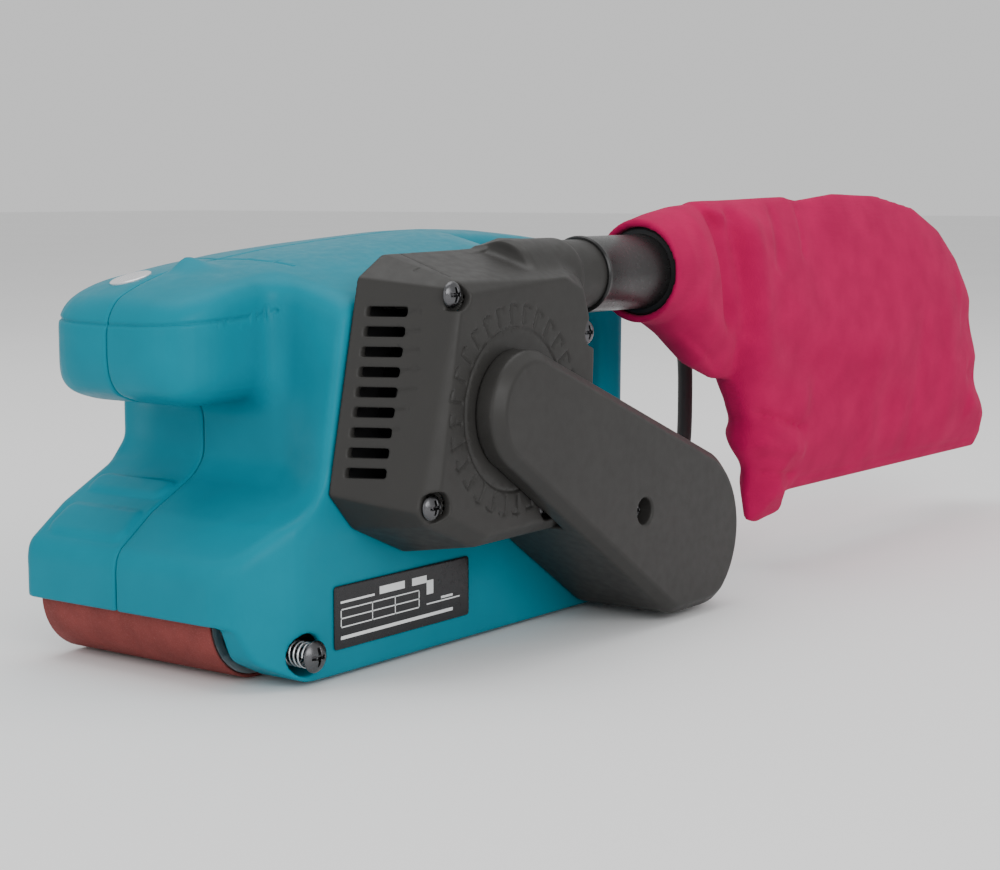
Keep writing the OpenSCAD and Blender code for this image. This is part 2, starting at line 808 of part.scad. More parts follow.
module motor_bearings() {
  color(steel) {
    bearing_y(m, face_y + 3.02, ball_w - 0.1, ball_out - 0.02, shaft_r + run);
    bearing_y(m, right_y - 10.5, end_w - 0.5, end_out - 0.02, shaft_r + run);
  }
}

module stator_core() {
  color([0.5, 0.51, 0.53]) difference() {
    rod_y(m, -28, 10, stator_r);
    rod_y(m, -29, 11, rotor_r + 0.6);
    for (a = [0, 180]) translate([motor_x, 0, motor_z]) rotate([0, a, 0])
      translate([-11, -29, rotor_r]) cube([22, 40, 5.5]);
  }
}

module stator_windings() {
  color([0.74, 0.38, 0.16]) for (y = [[-37, -28.02], [10.02, 16.5]]) for (a = [0, 180])
    intersection() {
      ring_y(m, y[0], y[1], stator_r - 4, rotor_r + 1.6);
      translate([motor_x, 0, motor_z]) rotate([0, a, 0]) translate([-40, -60, 5]) cube([80, 100, 60]);
    }
}

module fan_baffle() {
  color([0.12, 0.12, 0.12]) difference() {
    ring_y(m, side_y + wall, side_y + wall + 1.8, fan_r + 1.9, shaft_r + 13);
    translate([motor_x - 60, side_y, 0]) cube([120, 60, floor_z + gap]);
  }
}

module brush_holders() {
  color([0.8, 0.62, 0.25]) for (s = [-1, 1]) difference() {
    translate([motor_x + (s > 0 ? 12 : -31), 19, motor_z - 5]) cube([19, 8, 10]);
    translate([motor_x + (s > 0 ? 11 : -30), 20, motor_z - 4]) cube([19, 6, 8]);
  }
}

module carbon_brushes() {
  color([0.15, 0.15, 0.15]) for (s = [-1, 1])
    translate([motor_x + (s > 0 ? 11.3 : -25.3), 20.1, motor_z - 3.9]) cube([14, 5.8, 7.8]);
}

// ---- switch ----

module trigger() {
  color(charcoal) difference() {
    union() {
      translate([trig_x, -trig_half, hand_top - 8]) cube([trig_len, 2 * trig_half, 10]);
      rod_y([trig_x + 2, trig_z], -trig_half, trig_half, 3.2);
      translate([trig_x, -trig_half, hand_top]) cube([5, 2 * trig_half, trig_z - hand_top]);
    }
    rod_y([trig_x + 2, trig_z], -trig_half - 1, trig_half + 1, 1.5 + run);
    rod_y([trig_x + trig_len * 0.62, hand_top - 24], -trig_half - 1, trig_half + 1, 20);
  }
}

module trigger_pin() {
  color(steel) rod_y([trig_x + 2, trig_z], -grip_half + wall, grip_half - wall, 1.5);
}

module trigger_spring() {
  color(steel) translate([trig_x + 22, 0, hand_top + 2.1]) difference() {
    union() {
      cylinder(h = switch_z - hand_top - 2.2, r = 3);
      for (i = [0:2]) translate([0, 0, 0.3 + 2.1 * i]) cylinder(h = 1.1, r = 3.5);
    }
    translate([0, 0, -1]) cylinder(h = 20, r = 2.2);
  }
}

module switch_body() {
  color([0.12, 0.12, 0.13]) difference() {
    translate([trig_x + 8, -13, switch_z]) cube([44, 26, 16]);
    translate([trig_x + 8 + 40, -10, switch_z - 1]) cube([2, 20, 8]);
  }
}

module lock_button() {
  color(charcoal) union() {
    rod_y([button_x, button_z], -grip_half - 3, -grip_half + 4, button_r);
    rod_y([button_x, button_z], -grip_half + wall + 0.2, -grip_half + 4, button_r + 1.4);
  }
}

module speed_dial() {
  color(charcoal) difference() {
    rod_y([dial_x, dial_z], -4.8, 4.8, dial_r);
    rod_y([dial_x, dial_z], -6, 6, 2 + run);
    for (a = [0:20:340]) translate([dial_x, 0, dial_z]) rotate([0, a, 0])
      translate([dial_r - 0.8, -6, -0.7]) cube([2, 12, 1.4]);
  }
}

module speed_controller() {
  color([0.1, 0.3, 0.16]) union() {
    translate([24, -16, 54]) cube([20, 32, 18]);
    for (y = [-8.6, 5.6]) translate([dial_x - 3, y, 71]) cube([6, 3, dial_z - 71 + 3]);
    rod_y([dial_x, dial_z], -5.7, 5.7, 2);
  }
}

// ---- cord ----

module cord_guard() {
  length = norm(guard_tip - guard_root);
  color([0.12, 0.12, 0.12]) along_guard() union() {
    cylinder(h = 9.1, r = guard_r);
    translate([0, 0, 9]) cylinder(h = length - 9, r1 = guard_r - 0.8, r2 = cord_r + 1);
  }
}

function unit(v) = v / norm(v);
function tangent(p, i) = unit(p[min(i + 1, len(p) - 1)] - p[max(i - 1, 0)]);
function normals(p, i = 0, n = [0, 1, 0]) =
  i == len(p) ? [] :
  let (t = tangent(p, i), m = unit(n - (n * t) * t)) concat([m], normals(p, i + 1, m));
function ring_points(p, n, r, sides) = [
  for (i = [0:len(p) - 1]) let (t = tangent(p, i), b = cross(t, n[i]))
    for (k = [0:sides - 1]) let (a = 360 * k / sides) p[i] + r * (cos(a) * n[i] + sin(a) * b)
];

module tube(p, r, sides) {
  last = (len(p) - 1) * sides;
  polyhedron(
    ring_points(p, normals(p), r, sides),
    concat(
      [[for (k = [0:sides - 1]) k]],
      [for (i = [0:len(p) - 2]) for (k = [0:sides - 1])
        [i * sides + k, (i + 1) * sides + k, (i + 1) * sides + (k + 1) % sides, i * sides + (k + 1) % sides]],
      [[for (k = [sides - 1:-1:0]) last + k]]
    ));
}

module cord() {
  color(charcoal) tube(cord_route, cord_r, 10);
}

module cord_coil() {
  color(charcoal) translate([coil_at[0], coil_at[1], 0]) rotate_extrude()
    translate([coil_mid_r - 3 * cord_r, 0]) square([6 * cord_r, 6 * cord_r]);
}

// The plug lies beside the coil, its tail on the coil's outer turn.
plug_x = coil_at[0] - coil_mid_r - 2 * cord_r;
plug_r = 14;
plug_y = [71, 92, 112];

module plug_body() {
  color([0.1, 0.1, 0.1]) translate([plug_x, plug_y[0], plug_r]) rotate([-90, 0, 0]) union() {
    cylinder(h = plug_y[1] - plug_y[0], r = plug_r);
    translate([0, 0, plug_y[1] - plug_y[0]]) cylinder(h = plug_y[2] - plug_y[1], r1 = plug_r - 2, r2 = 4);
  }
}

module plug_pins() {
  color(steel) for (s = [-1, 1])
    rod_y([plug_x + 9.5 * s, plug_r], plug_y[0] - 19, plug_y[0], 2.4);
}

// ---- dust bag ----
bag_outline = [
  [94, 107], [106, 105], [128, 84], [160, 70], [166, 55], [174, 18], [206, 26], [400, 26],
  [398, 60], [384, 96], [350, 128], [318, 146], [244, 151], [160, 148], [110, 142], [94, 140]
];

module dust_bag() {
  color([0.72, 0.12, 0.27]) difference() {
    intersection() {
      slab_y(port_y - bag_t / 2, port_y + bag_t / 2) offset(r = 4, $fn = 16) offset(delta = -4) polygon(bag_outline);
      linear_extrude(200) polygon([
        [90, port_y - 14], [130, port_y - bag_t / 2], [380, port_y - bag_t / 2], [402, port_y - 5],
        [402, port_y + 5], [380, port_y + bag_t / 2], [130, port_y + bag_t / 2], [90, port_y + 14]
      ]);
    }
    rod_x([port_y, port_z], 90, 101, port_r + neck_t + 2.5);
  }
}

module bag_neck() {
  color([0.05, 0.05, 0.05]) difference() {
    rod_x([port_y, port_z], sleeve_x[0], 101, port_r + neck_t);
    rod_x([port_y, port_z], sleeve_x[0] - 1, 102, port_r + run);
  }
}

module bag_collar() {
  color([0.12, 0.12, 0.12]) difference() {
    rod_x([port_y, port_z], 90, 101, port_r + neck_t + 2.5);
    rod_x([port_y, port_z], 89, 102, port_r + neck_t);
  }
}

housing_left();
housing_right();
housing_screws();
fan_cover();
fan_cover_screws();
belt_cover();
belt_cover_screw();
rating_plate();
knob_badge();
main_frame();
platen_pad();
platen_plate();
graphite_sheet();
platen_screws();
sanding_belt();
drive_roller_core();
drive_roller_tyre();
drive_shaft();
drive_bearings();
large_pulley();
pulley_nut();
drive_belt();
small_pulley();
front_roller();
front_roller_bearings();
front_axle();
roller_fork();
tension_spring();
tension_lever();
lever_pin();
tracking_screw();
tracking_spring();
armature_shaft();
armature_core();
commutator();
armature_windings();
cooling_fan();
motor_bearings();
stator_core();
stator_windings();
fan_baffle();
brush_holders();
carbon_brushes();
trigger();
trigger_pin();
trigger_spring();
switch_body();
lock_button();
speed_dial();
speed_controller();
cord_guard();
cord();
cord_coil();
plug_body();
plug_pins();
dust_bag();
bag_neck();
bag_collar();
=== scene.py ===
"""Looks of a handheld belt sander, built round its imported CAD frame.

Moulded pieces and the bag are signed distance fields, in millimetres, that are meshed here and
scaled to metres. Round pieces are turned from a profile.
"""
import json
import math

import bmesh
import bpy
import numpy as np
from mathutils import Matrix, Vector
from mathutils.bvhtree import BVHTree


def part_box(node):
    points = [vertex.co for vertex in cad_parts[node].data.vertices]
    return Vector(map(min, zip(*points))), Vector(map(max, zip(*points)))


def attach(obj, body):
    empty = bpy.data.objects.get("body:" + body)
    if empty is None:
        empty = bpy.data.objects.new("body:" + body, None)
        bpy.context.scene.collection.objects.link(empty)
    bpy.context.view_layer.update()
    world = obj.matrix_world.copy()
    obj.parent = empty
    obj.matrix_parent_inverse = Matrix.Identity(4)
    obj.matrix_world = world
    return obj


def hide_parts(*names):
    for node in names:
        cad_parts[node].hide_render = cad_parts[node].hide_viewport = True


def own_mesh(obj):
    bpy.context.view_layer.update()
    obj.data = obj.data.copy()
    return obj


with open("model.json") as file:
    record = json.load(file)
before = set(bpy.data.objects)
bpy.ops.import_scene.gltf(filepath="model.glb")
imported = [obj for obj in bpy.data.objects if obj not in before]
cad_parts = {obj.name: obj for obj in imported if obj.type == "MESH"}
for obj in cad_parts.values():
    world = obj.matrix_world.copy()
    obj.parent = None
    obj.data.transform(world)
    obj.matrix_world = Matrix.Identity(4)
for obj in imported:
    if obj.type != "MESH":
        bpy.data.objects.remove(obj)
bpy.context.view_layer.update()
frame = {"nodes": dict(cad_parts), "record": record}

MM = 0.001
NODES = frame["nodes"]


def box_mm(node):
    """A node's lowest and highest corner, in millimetres."""
    low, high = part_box(node)
    return np.array(low) / MM, np.array(high) / MM


def add_object(name, data):
    """A new object in the scene for a mesh, curve, light or camera."""
    obj = bpy.data.objects.new(name, data)
    bpy.context.collection.objects.link(obj)
    return obj


# ---- camera ----

def make_camera():
    data = bpy.data.cameras.new("camera")
    data.lens = 72.37
    data.sensor_width = 36
    data.clip_start, data.clip_end = 0.02, 50
    cam = add_object("camera", data)
    cam.location = (-0.5309, -0.4657, 0.1504)
    cam.rotation_mode = "QUATERNION"
    cam.rotation_quaternion = Vector((0.7985, 0.5900, -0.1196)).to_track_quat("-Z", "Y")
    bpy.context.scene.camera = cam


make_camera()


# ---- fields and meshes ----

def sample_box(low, high, step):
    """Three broadcastable coordinate arrays over a box."""
    axes = [np.arange(low[i], high[i] + step, step) for i in range(3)]
    return axes[0][:, None, None], axes[1][None, :, None], axes[2][None, None, :]


def smax(a, b, k=1.0):
    """The larger of two distances, rounded over a width k: an intersection with a round edge."""
    h = np.maximum(k - np.abs(a - b), 0) / k
    return np.maximum(a, b) + h * h * k / 4


def smin(a, b, k=1.0):
    """The smaller of two distances, blended over a width k: a union with a fillet."""
    return -smax(-a, -b, k)


def smooth_step(t):
    t = np.clip(t, 0, 1)
    return t * t * (3 - 2 * t)


def corners(points):
    """A closed outline from (u, v, r) corners, each rounded by its radius r."""
    out = []
    n = len(points)
    for i, (u, v, r) in enumerate(points):
        p = np.array((u, v), float)
        a = np.array(points[i - 1][:2], float) - p
        b = np.array(points[(i + 1) % n][:2], float) - p
        la, lb = np.linalg.norm(a), np.linalg.norm(b)
        a, b = a / la, b / lb
        turn = math.acos(np.clip(a @ b, -1, 1))
        if r <= 0 or turn > math.pi - 0.02:
            out.append(p)
            continue
        cut = min(r / math.tan(turn / 2), 0.49 * la, 0.49 * lb)
        r = cut * math.tan(turn / 2)
        centre = p + (a + b) / np.linalg.norm(a + b) * r / math.sin(turn / 2)
        start, end = p + a * cut - centre, p + b * cut - centre
        steps = max(2, int((math.pi - turn) / 0.15))
        for t in np.linspace(0, 1, steps + 1):
            q = start * (1 - t) + end * t
            out.append(centre + q / np.linalg.norm(q) * r)
    return np.array(out)


def outline(u, v, points):
    """Signed distance to a closed outline with round corners, negative inside."""
    shape = np.broadcast_shapes(u.shape, v.shape)
    u, v = np.broadcast_to(u, shape), np.broadcast_to(v, shape)
    poly = corners(points)
    best = np.full(shape, 1e9)
    inside = np.zeros(shape, bool)
    for a, b in zip(poly, np.roll(poly, -1, 0)):
        ex, ey = b - a
        wx, wy = u - a[0], v - a[1]
        t = np.clip((wx * ex + wy * ey) / (ex * ex + ey * ey + 1e-12), 0, 1)
        best = np.minimum(best, (wx - t * ex) ** 2 + (wy - t * ey) ** 2)
        if ey != 0:
            inside ^= ((a[1] > v) != (b[1] > v)) & (u < ex * (v - a[1]) / ey + a[0])
    return np.where(inside, -1, 1) * np.sqrt(best)


def rectangle(low, high, r):
    """A rectangle's four corners, each with the radius r."""
    return [(low[0], low[1], r), (high[0], low[1], r), (high[0], high[1], r), (low[0], high[1], r)]


def disc(u, v, centre, r):
    return np.hypot(u - centre[0], v - centre[1]) - r


def span(u, low, high):
    """Distance to a slab between two planes."""
    return np.maximum(low - u, u - high)


def capsule(u, v, a, b, ra, rb=None):
    """Distance to a line with round ends, whose radius goes from ra to rb."""
    rb = ra if rb is None else rb
    ex, ey = b[0] - a[0], b[1] - a[1]
    t = np.clip(((u - a[0]) * ex + (v - a[1]) * ey) / (ex * ex + ey * ey), 0, 1)
    return np.hypot(u - a[0] - t * ex, v - a[1] - t * ey) - (ra + (rb - ra) * t)


CUBE = [(i, j, k) for i in (0, 1) for j in (0, 1) for k in (0, 1)]


def trilinear(f, p):
    """The field and its slope at grid points p, given in cells."""
    top = np.array(f.shape) - 2
    c = np.clip(p.astype(int), 0, top)
    t = p - c
    value = np.zeros(len(p))
    slope = np.zeros_like(p)
    for corner in CUBE:
        v = f[tuple((c + corner).T)]
        w = [t[:, a] if corner[a] else 1 - t[:, a] for a in range(3)]
        value += v * w[0] * w[1] * w[2]
        for a in range(3):
            b, d = (a + 1) % 3, (a + 2) % 3
            slope[:, a] += v * (1 if corner[a] else -1) * w[b] * w[d]
    return value, slope


def surface_net(f):
    """Vertices, in cells, and quads of the surface where the field is zero."""
    inside = f < 0
    count = sum(inside[i:f.shape[0] - 1 + i, j:f.shape[1] - 1 + j, k:f.shape[2] - 1 + k].astype(np.int8)
                for i, j, k in CUBE)
    active = (count > 0) & (count < 8)
    cells = np.argwhere(active)
    index = np.full(active.shape, -1, np.int64)
    index[active] = np.arange(len(cells))
    values = {c: f[tuple((cells + c).T)] for c in CUBE}
    total = np.zeros((len(cells), 3))
    hits = np.zeros(len(cells))
    for a in CUBE:
        for axis in range(3):
            if a[axis]:
                continue
            b = tuple(1 if i == axis else a[i] for i in range(3))
            fa, fb = values[a], values[b]
            cross = (fa < 0) != (fb < 0)
            t = np.where(cross, fa / np.where(cross, fa - fb, 1), 0)
            point = np.array(a, float)[None, :] + t[:, None] * (np.array(b) - a)[None, :]
            total += point * cross[:, None]
            hits += cross
    verts = cells + total / hits[:, None]
    for _ in range(2):
        value, slope = trilinear(f, verts)
        size = np.maximum((slope ** 2).sum(1), 0.05)
        verts -= np.clip((value / size)[:, None] * slope, -0.5, 0.5)
    quads = []
    for axis in range(3):
        b, c = (axis + 1) % 3, (axis + 2) % 3
        low = [slice(1, -1)] * 3
        high = [slice(1, -1)] * 3
        low[axis], high[axis] = slice(0, -1), slice(1, None)
        first, second = inside[tuple(low)], inside[tuple(high)]
        at = np.argwhere(first != second)
        if not len(at):
            continue
        out = first[tuple(at.T)]
        base = at + np.array([0 if i == axis else 1 for i in range(3)])
        step_b = np.array([1 if i == b else 0 for i in range(3)])
        step_c = np.array([1 if i == c else 0 for i in range(3)])
        ring = [base - step_b - step_c, base - step_c, base, base - step_b]
        quad = np.stack([index[tuple(r.T)] for r in ring], 1)
        quads.append(np.where(out[:, None], quad, quad[:, ::-1]))
    return verts, np.concatenate(quads)


def new_object(name, verts, quads):
    """A smooth-shaded mesh object from arrays in metres."""
    mesh = bpy.data.meshes.new(name)
    mesh.vertices.add(len(verts))
    mesh.vertices.foreach_set("co", np.asarray(verts, np.float32).ravel())
    mesh.loops.add(quads.size)
    mesh.loops.foreach_set("vertex_index", quads.ravel().astype(np.int32))
    mesh.polygons.add(len(quads))
    mesh.polygons.foreach_set("loop_start", np.arange(0, quads.size, 4, dtype=np.int32))
    mesh.polygons.foreach_set("use_smooth", np.ones(len(quads), bool))
    mesh.update(calc_edges=True)
    mesh.validate()
    return add_object(name, mesh)


def evaluated_mesh(obj):
    """The mesh of an object as its curve or its modifiers make it."""
    graph = bpy.context.evaluated_depsgraph_get()
    return bpy.data.meshes.new_from_object(obj.evaluated_get(graph))


def from_field(name, low, high, step, field, keep):
    """Meshes a field over a box. keep is the share of its faces that stay."""
    step = step * 1
    low, high = np.array(low, float) - 2 * step, np.array(high, float) + 2 * step
    f = np.ascontiguousarray(field(*sample_box(low, high, step)))
    verts, quads = surface_net(f)
    obj = new_object(name, (low + verts * step) * MM, quads)
    obj.modifiers.new("thin", "DECIMATE").ratio = keep
    mesh = evaluated_mesh(obj)
    obj.modifiers.clear()
    obj.data = mesh
    return obj


def finish_piece(obj, body, slot, *nodes, look=None):
    """Puts a piece on its body, in place of its CAD nodes, with the look of its slot or the look given."""
    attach(obj, body)
    if nodes:
        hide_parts(*nodes)
    obj.data.materials.clear()
    obj.data.materials.append(LOOKS[look or slot])
    return obj


def turned(name, profile, origin, axis, segments=48):
    """A lathe piece: profile is a list of (distance along axis, radius) in millimetres."""
    frame_of = Vector(axis).normalized().to_track_quat("Z", "Y").to_matrix()
    verts, faces = [], []
    for along, radius in profile:
        for i in range(segments):
            a = 2 * math.pi * i / segments
            p = frame_of @ Vector((radius * math.cos(a), radius * math.sin(a), along))
            verts.append((Vector(origin) + p) * MM)
    rows = len(profile)
    for row in range(rows - 1):
        for i in range(segments):
            j = (i + 1) % segments
            a, b = row * segments, (row + 1) * segments
            faces.append((a + i, a + j, b + j, b + i))
    mesh = bpy.data.meshes.new(name)
    mesh.from_pydata(verts, [], faces)
    work = bmesh.new()
    work.from_mesh(mesh)
    bmesh.ops.remove_doubles(work, verts=work.verts, dist=1e-6)
    bmesh.ops.holes_fill(work, edges=work.edges, sides=0)
    bmesh.ops.recalc_face_normals(work, faces=work.faces)
    for f in work.faces:
        f.smooth = True
    for e in work.edges:
        if len(e.link_faces) == 2 and e.calc_face_angle(0) > 0.6:
            e.smooth = False
    work.to_mesh(mesh)
    work.free()
    return add_object(name, mesh)


# ---- materials ----

LOOKS = {}


class Look:
    """Lays out one Principled material and keeps it in LOOKS."""

    def __init__(self, name, color, roughness, metallic=0.0, specular=0.36, sheen=0.0):
        self.material = LOOKS[name] = bpy.data.materials.new(name)
        self.material.use_nodes = True
        self.tree = self.material.node_tree
        self.shader = self.tree.nodes["Principled BSDF"]
        self.color = (*color, 1)
        self.shader.inputs["Base Color"].default_value = self.color
        self.shader.inputs["Roughness"].default_value = roughness
        self.shader.inputs["Metallic"].default_value = metallic
        self.shader.inputs["Specular IOR Level"].default_value = specular
        self.shader.inputs["Sheen Weight"].default_value = sheen
        self.roughness = roughness
        self.coords = self.add("ShaderNodeTexCoord")

    def add(self, kind, **values):
        node = self.tree.nodes.new(kind)
        for key, value in values.items():
            setattr(node, key, value)
        return node

    def link(self, a, b):
        self.tree.links.new(a, b)

    def noise(self, size_mm, detail=2, stretch=None):
        """Noise whose blotches are about size_mm across; stretch lengthens them per axis."""
        node = self.add("ShaderNodeTexNoise")
        node.inputs["Scale"].default_value = 1 / (size_mm * MM)
        node.inputs["Detail"].default_value = detail
        source = self.coords.outputs["Object"]
        if stretch:
            mapping = self.add("ShaderNodeMapping")
            mapping.inputs["Scale"].default_value = [1 / s for s in stretch]
            self.link(source, mapping.inputs["Vector"])
            source = mapping.outputs["Vector"]
        self.link(source, node.inputs["Vector"])
        return node.outputs["Fac"]

    def remap(self, value, low, high, start=0.3, end=0.7):
        node = self.add("ShaderNodeMapRange")
        node.inputs["From Min"].default_value = start
        node.inputs["From Max"].default_value = end
        node.inputs["To Min"].default_value = low
        node.inputs["To Max"].default_value = high
        self.link(value, node.inputs["Value"])
        return node.outputs["Result"]

    def mix(self, factor, a, b):
        node = self.add("ShaderNodeMix", data_type="RGBA")
        self.link(factor, node.inputs["Factor"])
        for socket, value in ((node.inputs["A"], a), (node.inputs["B"], b)):
            if isinstance(value, tuple):
                socket.default_value = value
            else:
                self.link(value, socket)
        return node.outputs["Result"]

    def shade(self, gain):
        return tuple(min(1.0, c * gain) for c in self.color[:3]) + (1,)

    def vary(self, size_mm, amount, rough):
        """Slow colour and gloss variation, as handling and moulding leave."""
        slow = self.noise(size_mm, 3)
        self.base = self.mix(self.remap(slow, 0, 1), self.shade(1 - amount), self.shade(1 + amount))
        self.link(self.base, self.shader.inputs["Base Color"])
        fine = self.noise(size_mm / 6, 3)
        gloss = self.remap(fine, self.roughness - rough, self.roughness + rough)
        self.link(gloss, self.shader.inputs["Roughness"])
        return self

    def wear_and_edge_highlight(self, gain=1.35, start=0.53, end=0.62):
        """Paler edges: partly rubbed wear, partly a painted highlight along sharp edges."""
        geometry = self.add("ShaderNodeNewGeometry")
        # pointiness lightens the sharp edges: rubbed wear and a painted edge highlight together
        edge = self.remap(geometry.outputs["Pointiness"], 0, 0.6, start, end)
        self.base = self.mix(edge, self.base, self.shade(gain))
        self.link(self.base, self.shader.inputs["Base Color"])
        return self

    def bump(self, size_mm, depth_mm, strength=0.5, stretch=None):
        node = self.add("ShaderNodeBump")
        node.inputs["Strength"].default_value = strength
        node.inputs["Distance"].default_value = depth_mm * MM
        self.link(self.noise(size_mm, 2, stretch), node.inputs["Height"])
        self.link(node.outputs["Normal"], self.shader.inputs["Normal"])
        return self


def moulded(name, color, roughness, grain=0.35, specular=0.25):
    Look(name, color, roughness, specular=specular).vary(22, 0.05, 0.05).wear_and_edge_highlight().bump(0.5, 0.05, grain)


def plain(name, color, roughness, vary, bump, metallic=0.0):
    Look(name, color, roughness, metallic).vary(*vary).bump(*bump)


def metal(name, color, roughness, stretch=None, size=0.6):
    Look(name, color, roughness, metallic=1.0).vary(8, 0.1, 0.07).bump(size, 0.03, 0.25, stretch)


def weave(name, color, pitch=0.55):
    """Woven cloth: two sets of threads, with slubs and sheen."""
    look = Look(name, color, 0.85, specular=0.05, sheen=0.05)
    look.vary(14, 0.09, 0.04)
    join = look.add("ShaderNodeMath", operation="ADD")
    for direction, socket in zip(("X", "Z"), join.inputs):
        wave = look.add("ShaderNodeTexWave", bands_direction=direction)
        wave.inputs["Scale"].default_value = 1 / (pitch * MM) / 3.2
        wave.inputs["Distortion"].default_value = 0.6
        wave.inputs["Detail"].default_value = 1
        look.link(look.coords.outputs["Object"], wave.inputs["Vector"])
        look.link(wave.outputs["Fac"], socket)
    node = look.add("ShaderNodeBump")
    node.inputs["Strength"].default_value = 0.28
    node.inputs["Distance"].default_value = 0.12 * MM
    look.link(join.outputs["Value"], node.inputs["Height"])
    look.link(node.outputs["Normal"], look.shader.inputs["Normal"])
    look.shader.inputs["Sheen Tint"].default_value = (1, 0.6, 0.7, 1)


TEAL = (0.0, 0.19, 0.26)
CHARCOAL = (0.026, 0.025, 0.0235)
CRIMSON = (0.40, 0.006, 0.072)

moulded("teal_plastic", TEAL, 0.40, specular=0.09)
moulded("charcoal_plastic", CHARCOAL, 0.46, 0.45)
moulded("moulded_black", (0.018, 0.018, 0.019), 0.45)
moulded("black_rubber", (0.02, 0.02, 0.02), 0.7, 0.6)
plain("gloss_rubber", (0.012, 0.012, 0.012), 0.3, (9, 0.1, 0.04), (3, 0.05, 0.2))
moulded("cord_rubber", (0.035, 0.034, 0.034), 0.5, 0.4)
metal("steel", (0.55, 0.56, 0.57), 0.32, (12, 1, 12))
metal("screw_steel", (0.11, 0.11, 0.115), 0.3)
metal("cast_aluminium", (0.55, 0.56, 0.57), 0.45, None, 0.9)
metal("laminated_steel", (0.22, 0.225, 0.235), 0.4, (20, 0.5, 20), 0.5)
metal("copper", (0.62, 0.24, 0.09), 0.35, (1, 8, 1), 0.4)
metal("brass", (0.72, 0.5, 0.2), 0.35)
plain("carbon", (0.025, 0.025, 0.025), 0.6, (3, 0.1, 0.05), (0.3, 0.05))
moulded("circuit", (0.02, 0.09, 0.04), 0.5)
plain("plate_print", (0.012, 0.012, 0.014), 0.25, (12, 0.1, 0.04), (2, 0.02, 0.1))
moulded("print_white", (0.62, 0.63, 0.63), 0.5)
plain("badge_silver", (0.72, 0.72, 0.74), 0.25, (6, 0.05, 0.04), (2, 0.02, 0.15), 0.6)
plain("cork", (0.42, 0.27, 0.14), 0.9, (3, 0.3, 0.05), (1.2, 0.3, 0.6))
moulded("graphite", (0.03, 0.03, 0.032), 0.5)
weave("bag_cloth", CRIMSON)


def abrasive():
    """Sharp brown-red grit in a glued coat on cloth."""
    look = Look("abrasive", (0.19, 0.038, 0.034), 0.78, specular=0.25)
    look.vary(9, 0.14, 0.05)
    grit = look.noise(0.35, 2)
    look.base = look.mix(look.remap(grit, 0, 0.7, 0.55, 0.75), look.base, (0.30, 0.09, 0.08, 1))
    look.link(look.base, look.shader.inputs["Base Color"])
    look.bump(0.45, 0.22, 0.75)


abrasive()


def dress_nodes():
    """Every CAD node takes the look of its slot."""
    for part in frame["record"]["subparts"]:
        mesh = NODES[part["node"]].data
        mesh.materials.clear()
        mesh.materials.append(LOOKS[part["material_slot"]])


dress_nodes()


# ---- cord ----

CORD_R = 3.25
COIL_AT = (95, 130)
COIL_RADII = (42.5, 36, 29.5)
ROUTE = [
    (0.2006, -0.0071, 0.102), (0.209, -0.0086, 0.0985), (0.2155, -0.0098, 0.092),
    (0.2195, -0.0105, 0.084), (0.221, -0.0108, 0.075), (0.221, -0.0108, 0.062),
    (0.221, -0.0108, 0.049), (0.2208, -0.0102, 0.0375), (0.2197, -0.0065, 0.026),
    (0.217, 0.001, 0.016), (0.212, 0.012, 0.0085), (0.2055, 0.025, 0.0045),
    (0.198, 0.038, 0.0033), (0.190, 0.051, 0.0033), (0.1815, 0.064, 0.0033),
    (0.1725, 0.077, 0.0033), (0.1625, 0.089, 0.0033), (0.1525, 0.100, 0.0033),
    (0.144, 0.111, 0.0033), (0.139, 0.121, 0.0033), (0.1375, 0.130, 0.0033),
]


def coil_points():
    """The wound part: out to in, up a layer, in to out, up, and off towards the plug."""
    turns = [(0, 0), (1, 0), (2, 0), (2, 1), (1, 1), (0, 1), (0, 2), (0, 2)]
    heights = (CORD_R + 0.05, 3 * CORD_R + 0.05, 5 * CORD_R + 0.05)
    points = []
    per_turn = 40
    count = int(7.5 * per_turn)
    for i in range(1, count + 1):
        turn = i / per_turn
        k = min(int(turn), 7)
        step = smooth_step(((turn - k) - 0.75) / 0.25) if k < 7 else 0
        here, there = turns[k], turns[min(k + 1, 7)]
        r0, r1 = np.interp(here[0], (0, 1, 2), COIL_RADII), np.interp(there[0], (0, 1, 2), COIL_RADII)
        z0, z1 = heights[here[1]], heights[there[1]]
        r, z = r0 + (r1 - r0) * step, z0 + (z1 - z0) * step
        a = 2 * math.pi * turn
        points.append((COIL_AT[0] + r * math.cos(a), COIL_AT[1] + r * math.sin(a), z))
    x = COIL_AT[0] - COIL_RADII[0]
    points += [(x, COIL_AT[1] - 6, 15.8), (x, COIL_AT[1] - 12, 14.6), (x, COIL_AT[1] - 18, 14)]
    return [tuple(c * MM for c in p) for p in points]


def tube_curve(name, kind, points, radius, resolution):
    """A capped tube along points in metres. Its radius, in millimetres, sits on the points."""
    data = bpy.data.curves.new(name, "CURVE")
    data.dimensions = "3D"
    spline = data.splines.new(kind)
    spline.points.add(len(points) - 1)
    for slot, p in zip(spline.points, points):
        slot.co = (*p, 1)
        slot.radius = radius * MM
    data.bevel_depth = 1.0
    data.bevel_resolution = resolution
    data.use_fill_caps = True
    return add_object(name, data), spline


def make_cord():
    cord, spline = tube_curve("mains_cord", "NURBS", ROUTE + coil_points(), CORD_R, 5)
    spline.order_u = 4
    spline.use_endpoint_u = True
    return finish_piece(cord, "root", "cord_rubber", "cord", "cord_coil")


